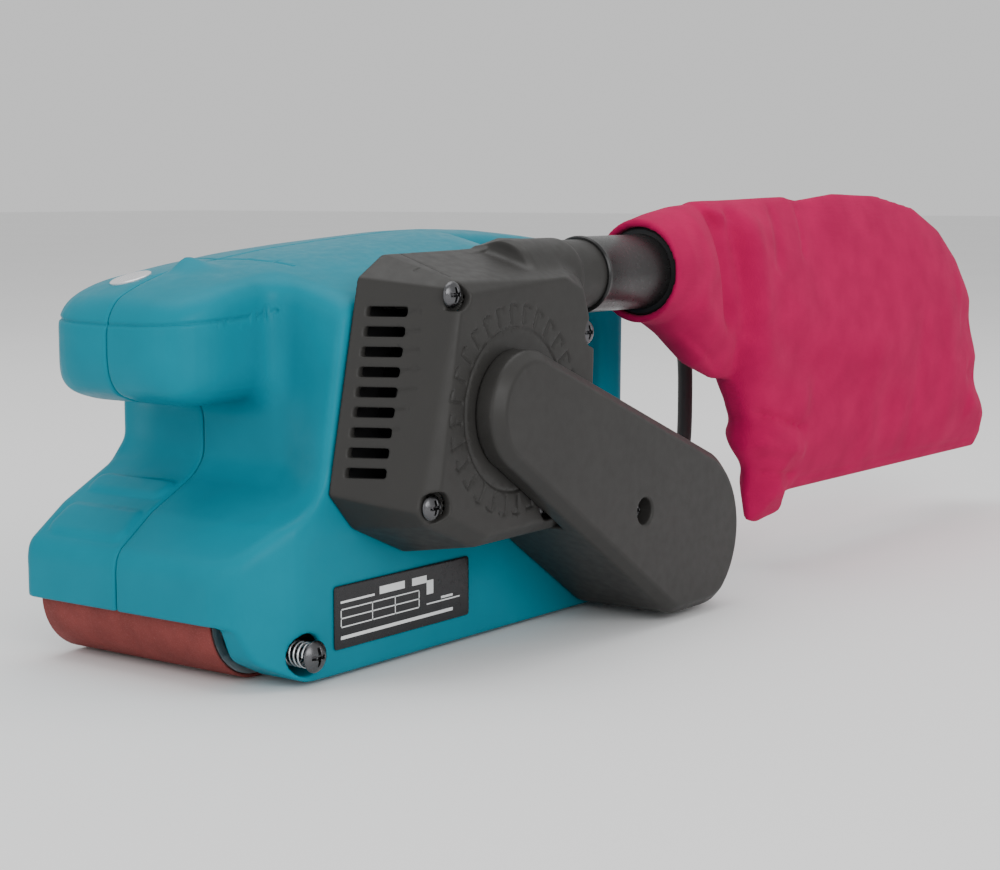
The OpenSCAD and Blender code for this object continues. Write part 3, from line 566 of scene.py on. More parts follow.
def make_guard():
    """The ribbed, tapered strain relief at the rear of the grip."""
    root, tip = np.array((160, 0, 113.0)), np.array((200.6, -7.1, 102.0))
    length = np.linalg.norm(tip - root)
    profile = [(0, 0), (0, 6.9), (8.4, 6.9), (9.2, 6.4)]
    ribs = 9
    for i in range(ribs):
        a = 10 + (length - 13) * i / ribs
        r = 6.2 - 2.0 * i / ribs
        profile += [(a, r), (a + 0.4, r + 0.05), (a + 2.0, r - 0.05), (a + 2.3, r - 0.7), (a + 3.0, r - 0.75)]
    profile += [(length - 1.4, 4.2), (length - 0.3, 4.1), (length, 3.7), (length, 0)]
    guard = turned("cord_strain_relief", profile, root, tip - root)
    return finish_piece(guard, "root", "cord_rubber", "cord_guard")


def make_plug():
    """A round two-pin plug with a ribbed grip, lying beside the coil."""
    low, high = box_mm("plug_body")
    cx, cz, r = (low[0] + high[0]) / 2, (low[2] + high[2]) / 2, (high[0] - low[0]) / 2
    y0, y1 = low[1], high[1]

    def field(x, y, z):
        d = np.hypot(x - cx, z - cz)
        angle = np.arctan2(z - cz, x - cx)
        front = smax(d - r + 0.05, span(y, y0, y0 + 9), 2)
        grip = smax(d - (r - 2.2 + 0.6 * np.cos(14 * angle)), span(y, y0 + 6, y0 + 21), 2)
        tail = smax(d - np.interp(y, (y0 + 18, y1 - 12, y1), (r - 3, 6.5, 4.0)), span(y, y0 + 17, y1), 1.5)
        rings = 0.5 * np.cos((y - y0) * 2 * math.pi / 3.2) * (y > y0 + 24) - 0.3
        return smin(smin(front, grip, 2), tail + rings * 0.6, 3)

    plug = from_field("plug_shell", low, high, 0.55, field, 0.5)
    return finish_piece(plug, "root", "cord_rubber", "plug_body")


cord = make_cord()
guard = make_guard()
plug = make_plug()


# ---- housing ----

SIDE_Y = -61.0
RIGHT_Y = 43.0
INNER_Y = -42.0
WALL = 3.0
FLOOR_Z = 51.2
MOTOR = (-17.0, 82.0)
TRACKER = (-81.5, 10.0)
PORT = (-70.0, 122.0)
KNOB_X = -107.0
SKIRT_X = -105.0
TAIL_X = 110.0
HAND_HOLE = [(50, 62, 9), (142, 62, 12), (142, 104, 12), (50, 104, 9)]
BASE_PLAN = [(SKIRT_X, RIGHT_Y, 4), (SKIRT_X, -47, 17), (-84, SIDE_Y, 17), (TAIL_X, SIDE_Y, 8),
             (TAIL_X, RIGHT_Y, 6)]
CROWN = [(-112, 104), (-107, 112.5), (-102, 117.2), (-93, 121.3), (-85, 124), (-79.5, 125.3), (-65, 127.6),
         (-56.5, 128.9), (-35.6, 131.6), (-10, 133.8), (10.5, 135.2), (35, 136.8), (52, 137.2), (75, 136.6),
         (100, 134.6), (140, 130.4), (156, 126), (166, 117)]


# The crown falls away to each side by y squared over these
LEFT_CURVE, RIGHT_CURVE = 310, 262


def crown(x):
    """Height of the housing's ridge along its length, smoothed."""
    places, heights = zip(*CROWN)
    fine = np.linspace(places[0], places[-1], 300)
    raw = np.interp(fine, places, heights)
    weight = np.hanning(15)
    soft = np.convolve(np.pad(raw, 7, mode="edge"), weight / weight.sum(), mode="valid")
    return np.interp(x, fine, soft)


def knob_field(x, y, z):
    plan = outline(x, y, [(KNOB_X, -34, 23), (-20, -34, 0), (-20, 34, 0), (KNOB_X, 34, 23)])
    side = outline(x, z, [(-30, 84, 0), (-66, 84, 0), (-90, 83.5, 12), (-107.5, 91, 15), (KNOB_X, 140, 0),
                          (-30, 140, 0)])
    front = outline(y, z, [(-34, 82, 17), (34, 82, 17), (34, 150, 0), (-34, 150, 0)])
    return smax(smax(plan, side, 7), front, 6)


def motor_field(x, y, z):
    flare = smooth_step((-34 - y) / 25)
    front_x = -64 + flare * (3 - 0.185 * (124 - z))
    front_x = front_x + 3.5 * smooth_step((y - 20) / 22)
    sides = span(y, SIDE_Y, RIGHT_Y)
    plan = outline(x, y, [(-90, SIDE_Y - 9, 0), (30, SIDE_Y - 9, 0), (34, SIDE_Y, 14), (50, SIDE_Y + 17, 12),
                          (50, RIGHT_Y, 12), (-64, RIGHT_Y, 14), (-90, RIGHT_Y - 2, 0)])
    d = smax(plan, sides, 1.5)
    return smax(smax(d, front_x - x, 4), 48 - z, 1)


def grip_field(x, y, z):
    side = outline(x, z, [(20, 45, 0), (20, 150, 0), (164.5, 150, 0), (164.5, 105, 12), (163, 60, 16),
                          (150, 46, 14), (112, 38, 8), (80, 38, 0)])
    half = 20 - 2.2 * smooth_step((x - 60) / 30) * smooth_step((150 - x) / 20) * smooth_step((z - 96) / 8)
    wide = np.abs(y) - half
    plan = outline(x, y, [(20, -20, 0), (164.5, -20, 12), (164.5, 20, 12), (20, 20, 0)])
    return smax(smax(side, wide, 9), plan, 3)


def base_field(x, y, z):
    side = outline(x, z, [(SKIRT_X, -20, 0), (SKIRT_X, 37, 10), (-88, 49.5, 14), (-66, 61, 8), (-40, 66, 0),
                          (40, 64, 0), (60, 57, 10), (95, 55, 10), (106, 46, 12), (TAIL_X, 34, 10),
                          (TAIL_X, -20, 0)])
    return smax(side, outline(x, y, BASE_PLAN), 4.5)


def underside(x, y, z):
    """What is cut away below: the front and rear skirts end high, the drive side's box ends low."""
    belt_side = outline(y, z, [(INNER_Y, -30, 0), (INNER_Y, 19.5, 9), (80, 19.5, 0), (80, -30, 0)])
    below = outline(x, z, [(-130, -30, 0), (-130, 19.5, 0), (-101, 19.5, 3), (-96.5, 8.5, 8), (-82, 1.2, 12),
                           (-70, 1, 0), (104, 1, 6), (TAIL_X + 2, 12, 3), (130, 19.5, 0), (130, -30, 0)])
    return np.minimum(belt_side, below)


def belt_room(x, y, z):
    """The room for the sanding belt and its frame, open towards the belt-change side."""
    profile = outline(x, z, [(-102, -30, 0), (-102, 30, 6), (-99, 38, 8), (-89, 44, 8), (-72, 45.5, 0),
                             (75, 50, 8), (96, 47.5, 8), (107, 33, 8), (107, -30, 0)])
    return np.maximum(profile, INNER_Y - y)


def box_room(x, y, z):
    """The room inside the drive side's box."""
    profile = outline(x, z, [(-72, 4, 6), (-86, 15, 6), (-88, 38, 6), (-72, 45, 0), (75, 49, 8), (96, 46, 8),
                             (107, 33, 8), (107, 4, 4)])
    skin = outline(x, y, BASE_PLAN) + WALL
    return np.maximum(np.maximum(profile, skin), span(y, SIDE_Y + WALL, INNER_Y + 1))


def crown_limit(x, y, z):
    """The ridge with its shoulders, and the thumb bump beside the seam."""
    fall = y * y / np.where(y < 0, LEFT_CURVE, RIGHT_CURVE)
    fall = fall * smooth_step((70 - x) / 40) + (y * y / 120) * smooth_step((x - 30) / 40)
    bump = 3.4 * np.exp(-(((x + 71) / 5.5) ** 2)) * np.exp(-((y / 9) ** 2)) * (y < 0)
    return (z - (crown(x) - fall + bump)) * 0.97


def housing_body(x, y, z):
    """The outer skin of both halves together."""
    trunk = smin(knob_field(x, y, z), motor_field(x, y, z), 9)
    d = smin(trunk, base_field(x, y, z), 8)
    d = smin(d, grip_field(x, y, z), 5)
    d = smax(d, crown_limit(x, y, z), 7)
    d = smax(d, SIDE_Y - y, 1.5)
    d = np.maximum(d, y - RIGHT_Y)
    hole = np.maximum(outline(x, z, HAND_HOLE), np.abs(y) - 60)
    d = smax(d, -hole, 5)
    step = outline(x, z, [(-100, 46, 0), (-90.5, 49.8, 2), (-83, 49.8, 2), (-80, 70, 0), (-60, 30, 0),
                          (-100, 30, 0)])
    pad = smax(smax(step, span(y, 1.5, 37), 4), d - 1.4, 2)
    return np.minimum(d, pad)


def housing_shell(x, y, z):
    outer = housing_body(x, y, z)
    inner = np.maximum(np.maximum(outer + WALL, FLOOR_Z - z), z - crown(x) + WALL)
    shell = smax(outer, -inner, 0.8)
    shell = np.minimum(shell, np.maximum(outer, z - FLOOR_Z))
    for room, edge in ((belt_room, 1.0), (box_room, 1.0), (underside, 1.2)):
        shell = smax(shell, -room(x, y, z), edge)
    shell = np.maximum(shell, -np.maximum(disc(x, z, MOTOR, 33), span(y, -70, -57)))
    shell = smax(shell, -np.maximum(disc(x, z, TRACKER, 6.6), span(y, -70, -44)), 0.8)
    trigger_slot = outline(x, z, [(63, 100, 0), (100, 100, 0), (100, 110, 0), (63, 110, 0)])
    shell = smax(shell, -np.maximum(trigger_slot, np.abs(y) - 8), 0.8)
    shell = smax(shell, -np.maximum(disc(x, z, (84, 120), 4.8), span(y, -30, -15)), 0.8)
    shell = smax(shell, -np.maximum(span(x, 44, 53), np.maximum(np.abs(y) - 5.6, np.abs(z - 90) - 11)), 0.8)
    port = np.maximum(disc(y, z, PORT, 12.7), span(x, 0, 52))
    return np.maximum(shell, -port)


SCREW_SITES = [(-90, 100, 34), (-54.5, 80, 43), (38, 120, 43), (152, 117.5, 20), (152, 68, 20)]


def groove_line():
    """The moulded line round the knob's cap, on one side, as points from front to top."""
    line = [(-107, 0, 110.5), (-106.6, 14, 110.8), (-104, 23, 111), (-99, 29.5, 111.2), (-92, 33, 111.4),
            (-82, 34, 111.6), (-72, 34, 112.2), (-64, 33.8, 113.8), (-57, 33.5, 116.8), (-51.5, 33, 121),
            (-49.5, 30, 125), (-50.5, 22, 127.6), (-53, 11, 129), (-56.5, 0, 129.6)]
    return along(line)


def along(line, step=0.35):
    """Evenly spaced points along a polyline."""
    fine = []
    for a, b in zip(np.array(line, float), np.array(line[1:], float)):
        n = max(2, int(np.linalg.norm(b - a) / step))
        fine += [a * (1 - t) + b * t for t in np.linspace(0, 1, n, endpoint=False)]
    return np.array(fine + [np.array(line[-1], float)])


def carve_line(obj, line, width=0.55, depth=0.75, reach=2.6):
    """Cuts a fine groove into the skin of obj along a line that passes close to it."""
    work = bmesh.new()
    work.from_mesh(obj.data)
    tree = BVHTree.FromBMesh(work)
    hits = [tree.find_nearest(Vector(p) * MM, 6 * MM)[0] for p in line]
    line = np.array([hit[:] for hit in hits if hit]) / MM
    for _ in range(2):
        co = np.array([v.co[:] for v in work.verts]) / MM
        near = set(np.nonzero(distance_to(co, line) < reach)[0])
        work.verts.ensure_lookup_table()
        edges = [e for e in work.edges if {v.index for v in e.verts} <= near and e.calc_length() > 0.5 * MM]
        bmesh.ops.subdivide_edges(work, edges=edges, cuts=1, use_grid_fill=True)
        work.verts.index_update()
    work.normal_update()
    co = np.array([v.co[:] for v in work.verts]) / MM
    d = distance_to(co, line)
    for v, gap in zip(work.verts, d):
        if gap < reach:
            v.co -= v.normal * (depth * MM * math.exp(-((gap / width) ** 2)))
    bmesh.ops.triangulate(work, faces=[f for f in work.faces if len(f.verts) > 4])
    for f in work.faces:
        f.smooth = True
    work.to_mesh(obj.data)
    work.free()


def distance_to(points, line):
    """Distance from each point to the nearest sample of a line."""
    low, high = line.min(0) - 4, line.max(0) + 4
    best = np.full(len(points), 1e3)
    close = np.nonzero(((points > low) & (points < high)).all(1))[0]
    for chunk in np.array_split(close, max(1, len(close) // 4000)):
        d = np.linalg.norm(points[chunk][:, None, :] - line[None, :, :], axis=2)
        best[chunk] = d.min(1)
    return best


def make_housing():
    seam = 0.12
    for side, name in ((-1, "housing_left"), (1, "housing_right")):
        low, high = box_mm(name)

        def field(x, y, z):
            d = smax(housing_shell(x, y, z), seam - side * y, 0.9)
            for sx, sz, wall_y in SCREW_SITES:
                if side > 0:
                    d = smax(d, -np.maximum(disc(x, z, (sx, sz), 3.9), wall_y - 4.5 - y), 0.8)
            return d

        low[1], high[1] = (low[1], 0.5) if side < 0 else (-0.5, high[1])
        shell = from_field(name + "_shell", low, high, 0.8, field, 0.45)
        carve_line(shell, groove_line() * (1, side, 1))
        finish_piece(shell, "root", "teal_plastic", name)


make_housing()


# ---- covers on the drive side ----

FACE_Y = -92.0
GUARD_Y = -102.0
FAN_BACK = [(-58, 124.5), (-46, 131.5), (12, 132.5), (29, 126), (33.5, 106), (32, 88), (13, 36), (-36, 35.5),
            (-61.5, 46.5), (-72.5, 58.5)]
FAN_MID = [(-48, 120), (-45, 123.3), (12, 127.2), (25.5, 121.5), (31.5, 104), (31, 88), (12, 40), (-33, 39),
           (-58, 50.6), (-60.5, 55)]
FAN_FACE = [(-44, 117), (-41, 119.3), (13.5, 122), (22.5, 116.5), (28, 103), (28.5, 89), (9, 44.2),
            (-34, 44.3), (-54, 53), (-56, 57)]
FAN_RINGS = [(-61, FAN_BACK), (-88, FAN_MID), (FACE_Y, FAN_FACE)]
LOUVRES = 9
LOUVRE_STEP = 6.12
COVER_SCREWS = [(-45, 119.5), (-55.5, 55), (28, 104), (2, 49)]
GUARD_SCREW = (45.0, 42.3)


def plane_through(a, b, c, inside):
    """Normal and offset of a plane through three points, facing away from inside."""
    a, b, c, inside = (np.array(p, float) for p in (a, b, c, inside))
    n = np.cross(b - a, c - a)
    n /= np.linalg.norm(n)
    if n @ (inside - a) > 0:
        n = -n
    return n, n @ a


def frustum(x, y, z, rings, k):
    """A convex solid whose sides go through matching outlines, each an X-Z outline at its own Y."""
    middle = (-15, -76, 82)
    d = None
    for (ya, ring_a), (yb, ring_b) in zip(rings, rings[1:]):
        for i in range(len(ring_a)):
            j = (i + 1) % len(ring_a)
            a = (ring_a[i][0], ya, ring_a[i][1])
            b = (ring_a[j][0], ya, ring_a[j][1])
            c = (ring_b[i][0], yb, ring_b[i][1])
            n, offset = plane_through(a, b, c, middle)
            side = n[0] * x + n[1] * y + n[2] * z - offset
            d = side if d is None else smax(d, side, k)
    return d


def pocket(x, y, z, at, r, y_floor):
    return np.maximum(disc(x, z, at, r), y - y_floor)


def fan_cover_field(x, y, z):
    body = frustum(x, y, z, FAN_RINGS, 0.7)
    body = smax(body, FACE_Y - y, 0.7)
    body = np.maximum(body, y + 61.3)
    tube = np.maximum(disc(y, z, PORT, 12.35), span(x, 4, 85))
    elbow = smax(disc(y, z, (PORT[0] - 1, PORT[1]), 13.2), span(x, 4, 35), 3)
    d = smin(body, smin(tube, elbow, 1.5), 4)
    wedge = outline(x, z, [(-6, 130.5, 0), (17, 135.3, 1.2), (23, 135.1, 1.2), (27, 130, 0), (27, 126, 0),
                           (-6, 126, 0)])
    wedge = smax(wedge, span(y, -66, -59.3), 0.8)
    d = smin(d, wedge, 1.0)
    inner = np.maximum(frustum(x, y, z, FAN_RINGS, 0.5) + 2.5, FACE_Y + 2.8 - y)
    d = smax(d, -inner, 0.6)
    d = np.maximum(d, -np.maximum(disc(y, z, PORT, 9.7), span(x, 12, 90)))
    for i, at in enumerate(COVER_SCREWS):
        boss = smax(disc(x, z, at, 5.6), span(y, -89, -62), 0.5)
        d = np.minimum(d, np.maximum(boss, body + 0.6))
        d = smax(d, -pocket(x, y, z, at, 5.0, -87.6), 0.7)
    hub = np.maximum(disc(x, z, MOTOR, 14), span(y, -91, -81))
    d = np.minimum(d, np.maximum(hub, body + 0.6))
    d = np.maximum(d, -np.maximum(disc(x, z, MOTOR, 11.0), span(y, -89.05, -75)))
    d = np.maximum(d, -pocket(x, y, z, MOTOR, 5.6, -80))
    for i in range(LOUVRES):
        zc = 65.2 + LOUVRE_STEP * i
        flat = outline(y, z, rectangle((-76.8, zc - 1.5), (-65.2, zc + 1.5), 0.7))
        d = smax(d, -np.maximum(flat, x + 44), 0.5)
    return d


def on_face(r, angle):
    """A point on the cover's face, round the motor's axis."""
    return (MOTOR[0] + r * math.cos(angle), FACE_Y, MOTOR[1] + r * math.sin(angle))


def hub_marks():
    """Hook-shaped marks round the hub, and the step of the disc inside them."""
    lines = []
    count = 28
    for i in range(count):
        a = 2 * math.pi * (i + 0.3) / count
        b = a - 0.42 * 2 * math.pi / count
        path = [(27.8, a), (33.4, a), (33.4, (a + b) / 2), (33.0, b)]
        lines.append(along([on_face(r, t) for r, t in path]))
    ring = [on_face(26, t) for t in np.linspace(0, 2 * math.pi, 180)]
    return np.concatenate(lines), along(ring)


def slot_marks():
    """Fine lines that run on from the louvre slots, and the lines moulded on top."""
    heights = [66.4 + LOUVRE_STEP * i for i in range(LOUVRES)]
    lines = [along([(-54, -82.0, z), (-60, -77.4, z)]) for z in heights]
    lines.append(along([(-40, -84, 126), (-37.5, -63, 133)]))
    lines.append(along([(-46.5, -75, 128), (-43.5, -75, 128.5)]))
    return np.concatenate(lines)


def make_fan_cover():
    low, high = (-74, -92.3, 34), (86, -58, 136.5)
    cover = from_field("fan_cover_shell", low, high, 0.5, fan_cover_field, 0.4)
    hooks, ring = hub_marks()
    carve_line(cover, hooks, 0.42, 0.6, 1.6)
    carve_line(cover, ring, 0.5, 0.5, 1.6)
    carve_line(cover, slot_marks(), 0.4, 0.4, 1.6)
    # a dark plate inside the cover: painted shade behind the louvres
    make_shade_plate()
    finish_piece(cover, "root", "charcoal_plastic", "fan_cover")


def make_shade_plate():
    """A dark plate behind the louvres, between the cover and the housing wall: painted shade that darkens the
    view through the slots.
    """
    def field(x, y, z):
        plate = outline(x, z, [(p[0] * 0.955, 82 + (p[1] - 82) * 0.93, 2) for p in FAN_BACK])
        return np.maximum(smax(plate, span(y, -63.0, -61.5), 0.3), -disc(x, z, MOTOR, 32.5))

    # painted shade: a dark sheet that stands in for the shade inside the louvre slots
    shade_plate = from_field("painted_shade_plate", (-72, -63, 34), (36, -61.4, 134), 0.6, field, 0.3)
    finish_piece(shade_plate, "root", "moulded_black")


BIG_END = (80.5, 29.5)
SMALL_END = (-19.0, 82.0)


def belt_cover_field(x, y, z):
    edge = capsule(x, z, SMALL_END, BIG_END, 19.5, 31)
    edge = smax(edge, 2.2 - z, 3)
    face = GUARD_Y - y
    chamfer = (edge + face + 3.4) * 0.7071
    outer = smax(smax(smax(edge, face, 0.5), chamfer, 0.5), y + 61.3, 0.6)
    behind = outline(x, z, [(33, 130, 0), (32.6, 89, 0), (11.5, 42.8, 0), (4.5, 35, 0), (4.5, -10, 0),
                            (200, -10, 0), (200, 130, 0)])
    outer = smax(outer, np.minimum(y + 92.3, behind), 0.6)
    room = smax(edge + 2.5, GUARD_Y + 2.8 - y, 0.5)
    room = np.maximum(room, np.minimum(y + 92, behind + 2.5))
    post = np.maximum(disc(x, z, GUARD_SCREW, 5.6), y + 61.3)
    d = np.maximum(outer, -np.maximum(room, -post))
    d = smax(d, -np.maximum(disc(x, z, GUARD_SCREW, 4.6), y + 95.5), 0.8)
    d = np.maximum(d, -disc(x, z, GUARD_SCREW, 2.0))
    # a short dash moulded low on the face
    mark = capsule(x, z, (22.5, 31.5), (27.5, 30.2), 0.35)
    return np.maximum(d, -np.maximum(mark, y - GUARD_Y - 0.4))


def make_belt_cover():
    low, high = box_mm("belt_cover")
    cover = from_field("belt_cover_shell", low, high, 0.6, belt_cover_field, 0.35)
    finish_piece(cover, "root", "charcoal_plastic", "belt_cover")


def screw_head(name, at, y, r, length):
    """A domed screw head facing -Y with a cross recess, and its shank."""
    def field(x, yy, z):
        u, v, w = x - at[0], z - at[1], yy - y
        d = np.hypot(u, v)
        dome = np.sqrt(d * d + (w - r * 1.35) ** 2) - r * 1.35
        head = smax(smax(dome, d - r, 0.6), w - 2.6, 0.4)
        shank = np.maximum(d - 1.5, span(w, 2.4, length))
        taper = 0.55 + 0.1 * r - 0.22 * w
        cut_a = np.maximum(np.abs(u) - taper * 0.62, np.abs(v) - r * 0.55)
        cut_b = np.maximum(np.abs(v) - taper * 0.62, np.abs(u) - r * 0.55)
        cross = np.maximum(np.minimum(cut_a, cut_b), w - 1.9)
        return smax(np.minimum(head, shank), -cross, 0.25)

    low = (at[0] - r, y, at[1] - r)
    high = (at[0] + r, y + length, at[1] + r)
    return from_field(name, low, high, 0.22 if r < 5 else 0.3, field, 0.5)


def join(name, objects):
    work = bmesh.new()
    for obj in objects:
        work.from_mesh(obj.data)
    mesh = bpy.data.meshes.new(name)
    work.to_mesh(mesh)
    work.free()
    for obj in objects:
        bpy.data.objects.remove(obj)
    return add_object(name, mesh)


def make_screws():
    heads = [screw_head(f"s{i}", at, -90.6, 4.2, 12) for i, at in enumerate(COVER_SCREWS)]
    finish_piece(join("fan_cover_screw_heads", heads), "root", "screw_steel", "fan_cover_screws")
    guard = screw_head("belt_cover_screw_head", GUARD_SCREW, -98.8, 3.8, 15.2)
    finish_piece(guard, "root", "screw_steel", "belt_cover_screw")
    tracker = screw_head("tracking_screw_head", TRACKER, -65.9, 5.3, 22)
    finish_piece(tracker, "tracker", "screw_steel", "tracking_screw")


make_fan_cover()
make_belt_cover()
make_screws()


# ---- sanding belt and small pieces ----

def make_belt():
    """The abrasive loop: an even band with slightly rounded edges and smooth bends."""
    front, rear, thick = np.array((-80.5, 20.5)), np.array((80.5, 23.5)), 1.0
    front_r, rear_r = front[1], rear[1]
    run = rear - front
    tilt = math.atan2(run[1], run[0])
    lean = math.acos((front_r - rear_r) / math.hypot(*run))
    path = []
    for centre, r, a0, a1 in ((front, front_r, tilt + lean, tilt + 2 * math.pi - lean),
                              (rear, rear_r, tilt - lean, tilt + lean)):
        for a in np.linspace(a0, a1, 40):
            normal = np.array((math.cos(a), math.sin(a)))
            path.append((centre + r * normal, normal))
    dense = []
    for (pa, na), (pb, nb) in zip(path, path[1:] + path[:1]):
        n = max(1, int(np.linalg.norm(pb - pa) / 6))
        for t in np.linspace(0, 1, n, endpoint=False):
            dense.append((pa * (1 - t) + pb * t, na * (1 - t) + nb * t))
    across = [(-38, 0.75), (-38, 0.25), (-37.7, 0), (-30, 0), (-15, 0), (0, 0), (15, 0), (30, 0), (37.7, 0),
              (38, 0.25), (38, 0.75), (37.7, thick), (0, thick), (-37.7, thick)]
    verts = []
    for p, n in dense:
        n = n / np.linalg.norm(n)
        for y, inward in across:
            q = p - n * inward
            verts.append((q[0] * MM, y * MM, q[1] * MM))
    m, k = len(dense), len(across)
    quads = np.array([(i * k + j, ((i + 1) % m) * k + j, ((i + 1) % m) * k + (j + 1) % k, i * k + (j + 1) % k)
                      for i in range(m) for j in range(k)])
    belt = new_object("sanding_belt_band", np.array(verts), quads)
    work = bmesh.new()
    work.from_mesh(belt.data)
    bmesh.ops.recalc_face_normals(work, faces=work.faces)
    work.to_mesh(belt.data)
    work.free()
    finish_piece(belt, "root", "abrasive", "sanding_belt")


def helix_spring(name, centre, axis, length, radius, wire, turns, body, node):
    """A round-wire coil spring, its length measured over the wire."""
    turn_points = 20
    count = int(turns * turn_points)
    to_axis = Vector(axis).normalized().to_track_quat("Z", "Y").to_matrix()
    points = []
    for i in range(count + 1):
        a = 2 * math.pi * i / turn_points
        h = wire / 2 + (length - wire) * i / count
        p = Vector(centre) + to_axis @ Vector((radius * math.cos(a), radius * math.sin(a), h))
        points.append(p * MM)
    curve, _ = tube_curve(name + "_line", "POLY", points, wire / 2, 2)
    mesh = evaluated_mesh(curve)
    bpy.data.objects.remove(curve)
    return finish_piece(add_object(name, mesh), body, "steel", node)


def make_springs():
    helix_spring("tracking_coil", (-81.5, -62.2, 10), (0, 1, 0), 10, 3.8, 0.9, 5, "root", "tracking_spring")
    helix_spring("tension_coil", (-42, 0, 20.5), (1, 0, 0), 38, 6.5, 1.5, 13, "carriage", "tension_spring")
    coil = helix_spring("trigger_coil", (88, 0, 106.15), (0, 0, 1), 6.2, 2.9, 0.8, 4, "root",
                        "trigger_spring")
    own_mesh(coil)


def make_plate():
    """The rating plate: a glossy dark label with round corners; its blank pale panels are printed by
    make_plate_cells.
    """
    low, high = box_mm("rating_plate")

    def field(x, y, z):
        plate = outline(x, z, rectangle((low[0], low[2]), (high[0], high[2]), 1.6))
        return smax(plate, span(y, low[1], high[1]), 0.2)

    plate = from_field("rating_label", low, high, 0.35, field, 0.15)
    finish_piece(plate, "root", "plate_print", "rating_plate")


def make_badge():
    """A slightly domed round badge lying on the slope of the crown."""
    x, y = -85.0, 10.0
    z = float(crown(x)) - y * y / RIGHT_CURVE
    up = Vector((-(float(crown(x + 2)) - float(crown(x - 2))) / 4, 2 * y / RIGHT_CURVE, 1)).normalized()
    profile = [(-0.5, 0), (-0.5, 6.8), (0.15, 6.8), (0.4, 6.4), (0.5, 5.8), (0.5, 0)]
    badge = turned("knob_disc", profile, (x, y, z), up, 64)
    finish_piece(badge, "root", "badge_silver", "knob_badge")


def make_plate_cells():
    """Blank pale frames and bars printed on the rating plate."""
    low, high = box_mm("rating_plate")
    y = low[1] - 0.04
    x0, z0, wide, tall = low[0] + 3, low[2] + 2.6, high[0] - low[0] - 6, high[2] - low[2] - 5
    bars = [(0.0, 0.78, 0.26, 0.045), (0.3, 0.78, 0.2, 0.16), (0.56, 0.78, 0.12, 0.16)]
    bars += [(0.0, row, 0.62, 0.025) for row in (0.28, 0.46, 0.64)]
    bars += [(u, 0.28, 0.006, 0.385) for u in (0.0, 0.24, 0.42, 0.614)]
    bars += [(0.0, 0.04, 0.9, 0.07), (0.68, 0.52, 0.055, 0.3), (0.8, 0.36, 0.1, 0.05),
             (0.68, 0.3, 0.28, 0.03)]
    verts, faces = [], []
    for u, v, w, h in bars:
        k = len(verts)
        a, b = x0 + u * wide, x0 + (u + w) * wide
        c, d = z0 + v * tall, z0 + (v + h) * tall
        verts += [(xx * MM, yy * MM, zz * MM)
                  for yy in (y, y + 0.2) for xx, zz in ((a, c), (b, c), (b, d), (a, d))]
        faces += [(k, k + 1, k + 2, k + 3), (k + 7, k + 6, k + 5, k + 4), (k, k + 4, k + 5, k + 1),
                  (k + 1, k + 5, k + 6, k + 2), (k + 2, k + 6, k + 7, k + 3), (k + 3, k + 7, k + 4, k)]
    mesh = bpy.data.meshes.new("rating_label_print")
    mesh.from_pydata(verts, [], faces)
    finish_piece(add_object("rating_label_print", mesh), "root", "badge_silver", look="print_white")


make_belt()
make_plate_cells()
make_badge()
make_springs()
make_plate()


# ---- dust bag ----

BAG_Y, NECK_Z = PORT


def make_neck():
    """The glossy rubber sleeve on the port, and the ring in the bag's mouth."""
    inner, outer = 12.36, 13.6
    profile = [(0, inner), (0, outer - 0.5), (0.5, outer), (1.8, outer), (2.2, outer - 0.25),
               (36, outer - 0.15), (41.5, outer), (50.7, outer), (50.7, inner), (0, inner)]
    sleeve = turned("bag_sleeve", profile, (50.3, BAG_Y, NECK_Z), (1, 0, 0), 64)
    finish_piece(sleeve, "bag", "gloss_rubber", "bag_neck")
    ring = [(0, 13.62), (0, 15.2), (0.8, 16.05), (3, 16.1), (8, 16.1), (11, 15.6), (11, 13.62), (0, 13.62)]
    collar = turned("bag_mouth_ring", ring, (90, BAG_Y, NECK_Z), (1, 0, 0), 64)
    finish_piece(collar, "bag", "moulded_black", "bag_collar")


# Outline of the bag in side view: x, z and the radius of each corner
PANEL = [
    (121, 146.5, 5), (134, 133, 14), (139.5, 117, 14), (142, 103, 14), (149, 88, 12), (159, 70, 8),
    (165, 59, 7), (163, 50, 6), (171, 40, 8), (169, 30, 6), (172, 19, 2), (178, 17.5, 2),
    (196, 19.5, 2), (200, 24, 1), (197, 26.5, 1), (206, 27.5, 2), (392, 27, 4), (399.5, 33, 5),
    (400, 45, 8), (392, 60, 12), (391, 74, 10), (384, 90, 12), (382, 102, 10), (366, 120, 16),
    (345, 134, 20), (318, 144, 20), (280, 149.5, 30), (240, 150.4, 20), (207, 147.6, 8), (196, 149, 8),
    (160, 147.8, 20), (135, 147.2, 10),
]
# The neck between the mouth and the panel: its top, foot and half width at each step
NECK_X_STEPS = (86, 92, 100, 112, 126, 142, 162)
NECK_TOP = (140.6, 141.6, 143.4, 145.4, 146.4, 145.5, 138)
NECK_FOOT = (103.4, 103.2, 102.0, 95.0, 85.0, 79.0, 77)
NECK_HALF = (17.8, 17.9, 17.9, 16.5, 13.2, 9.5, 7)

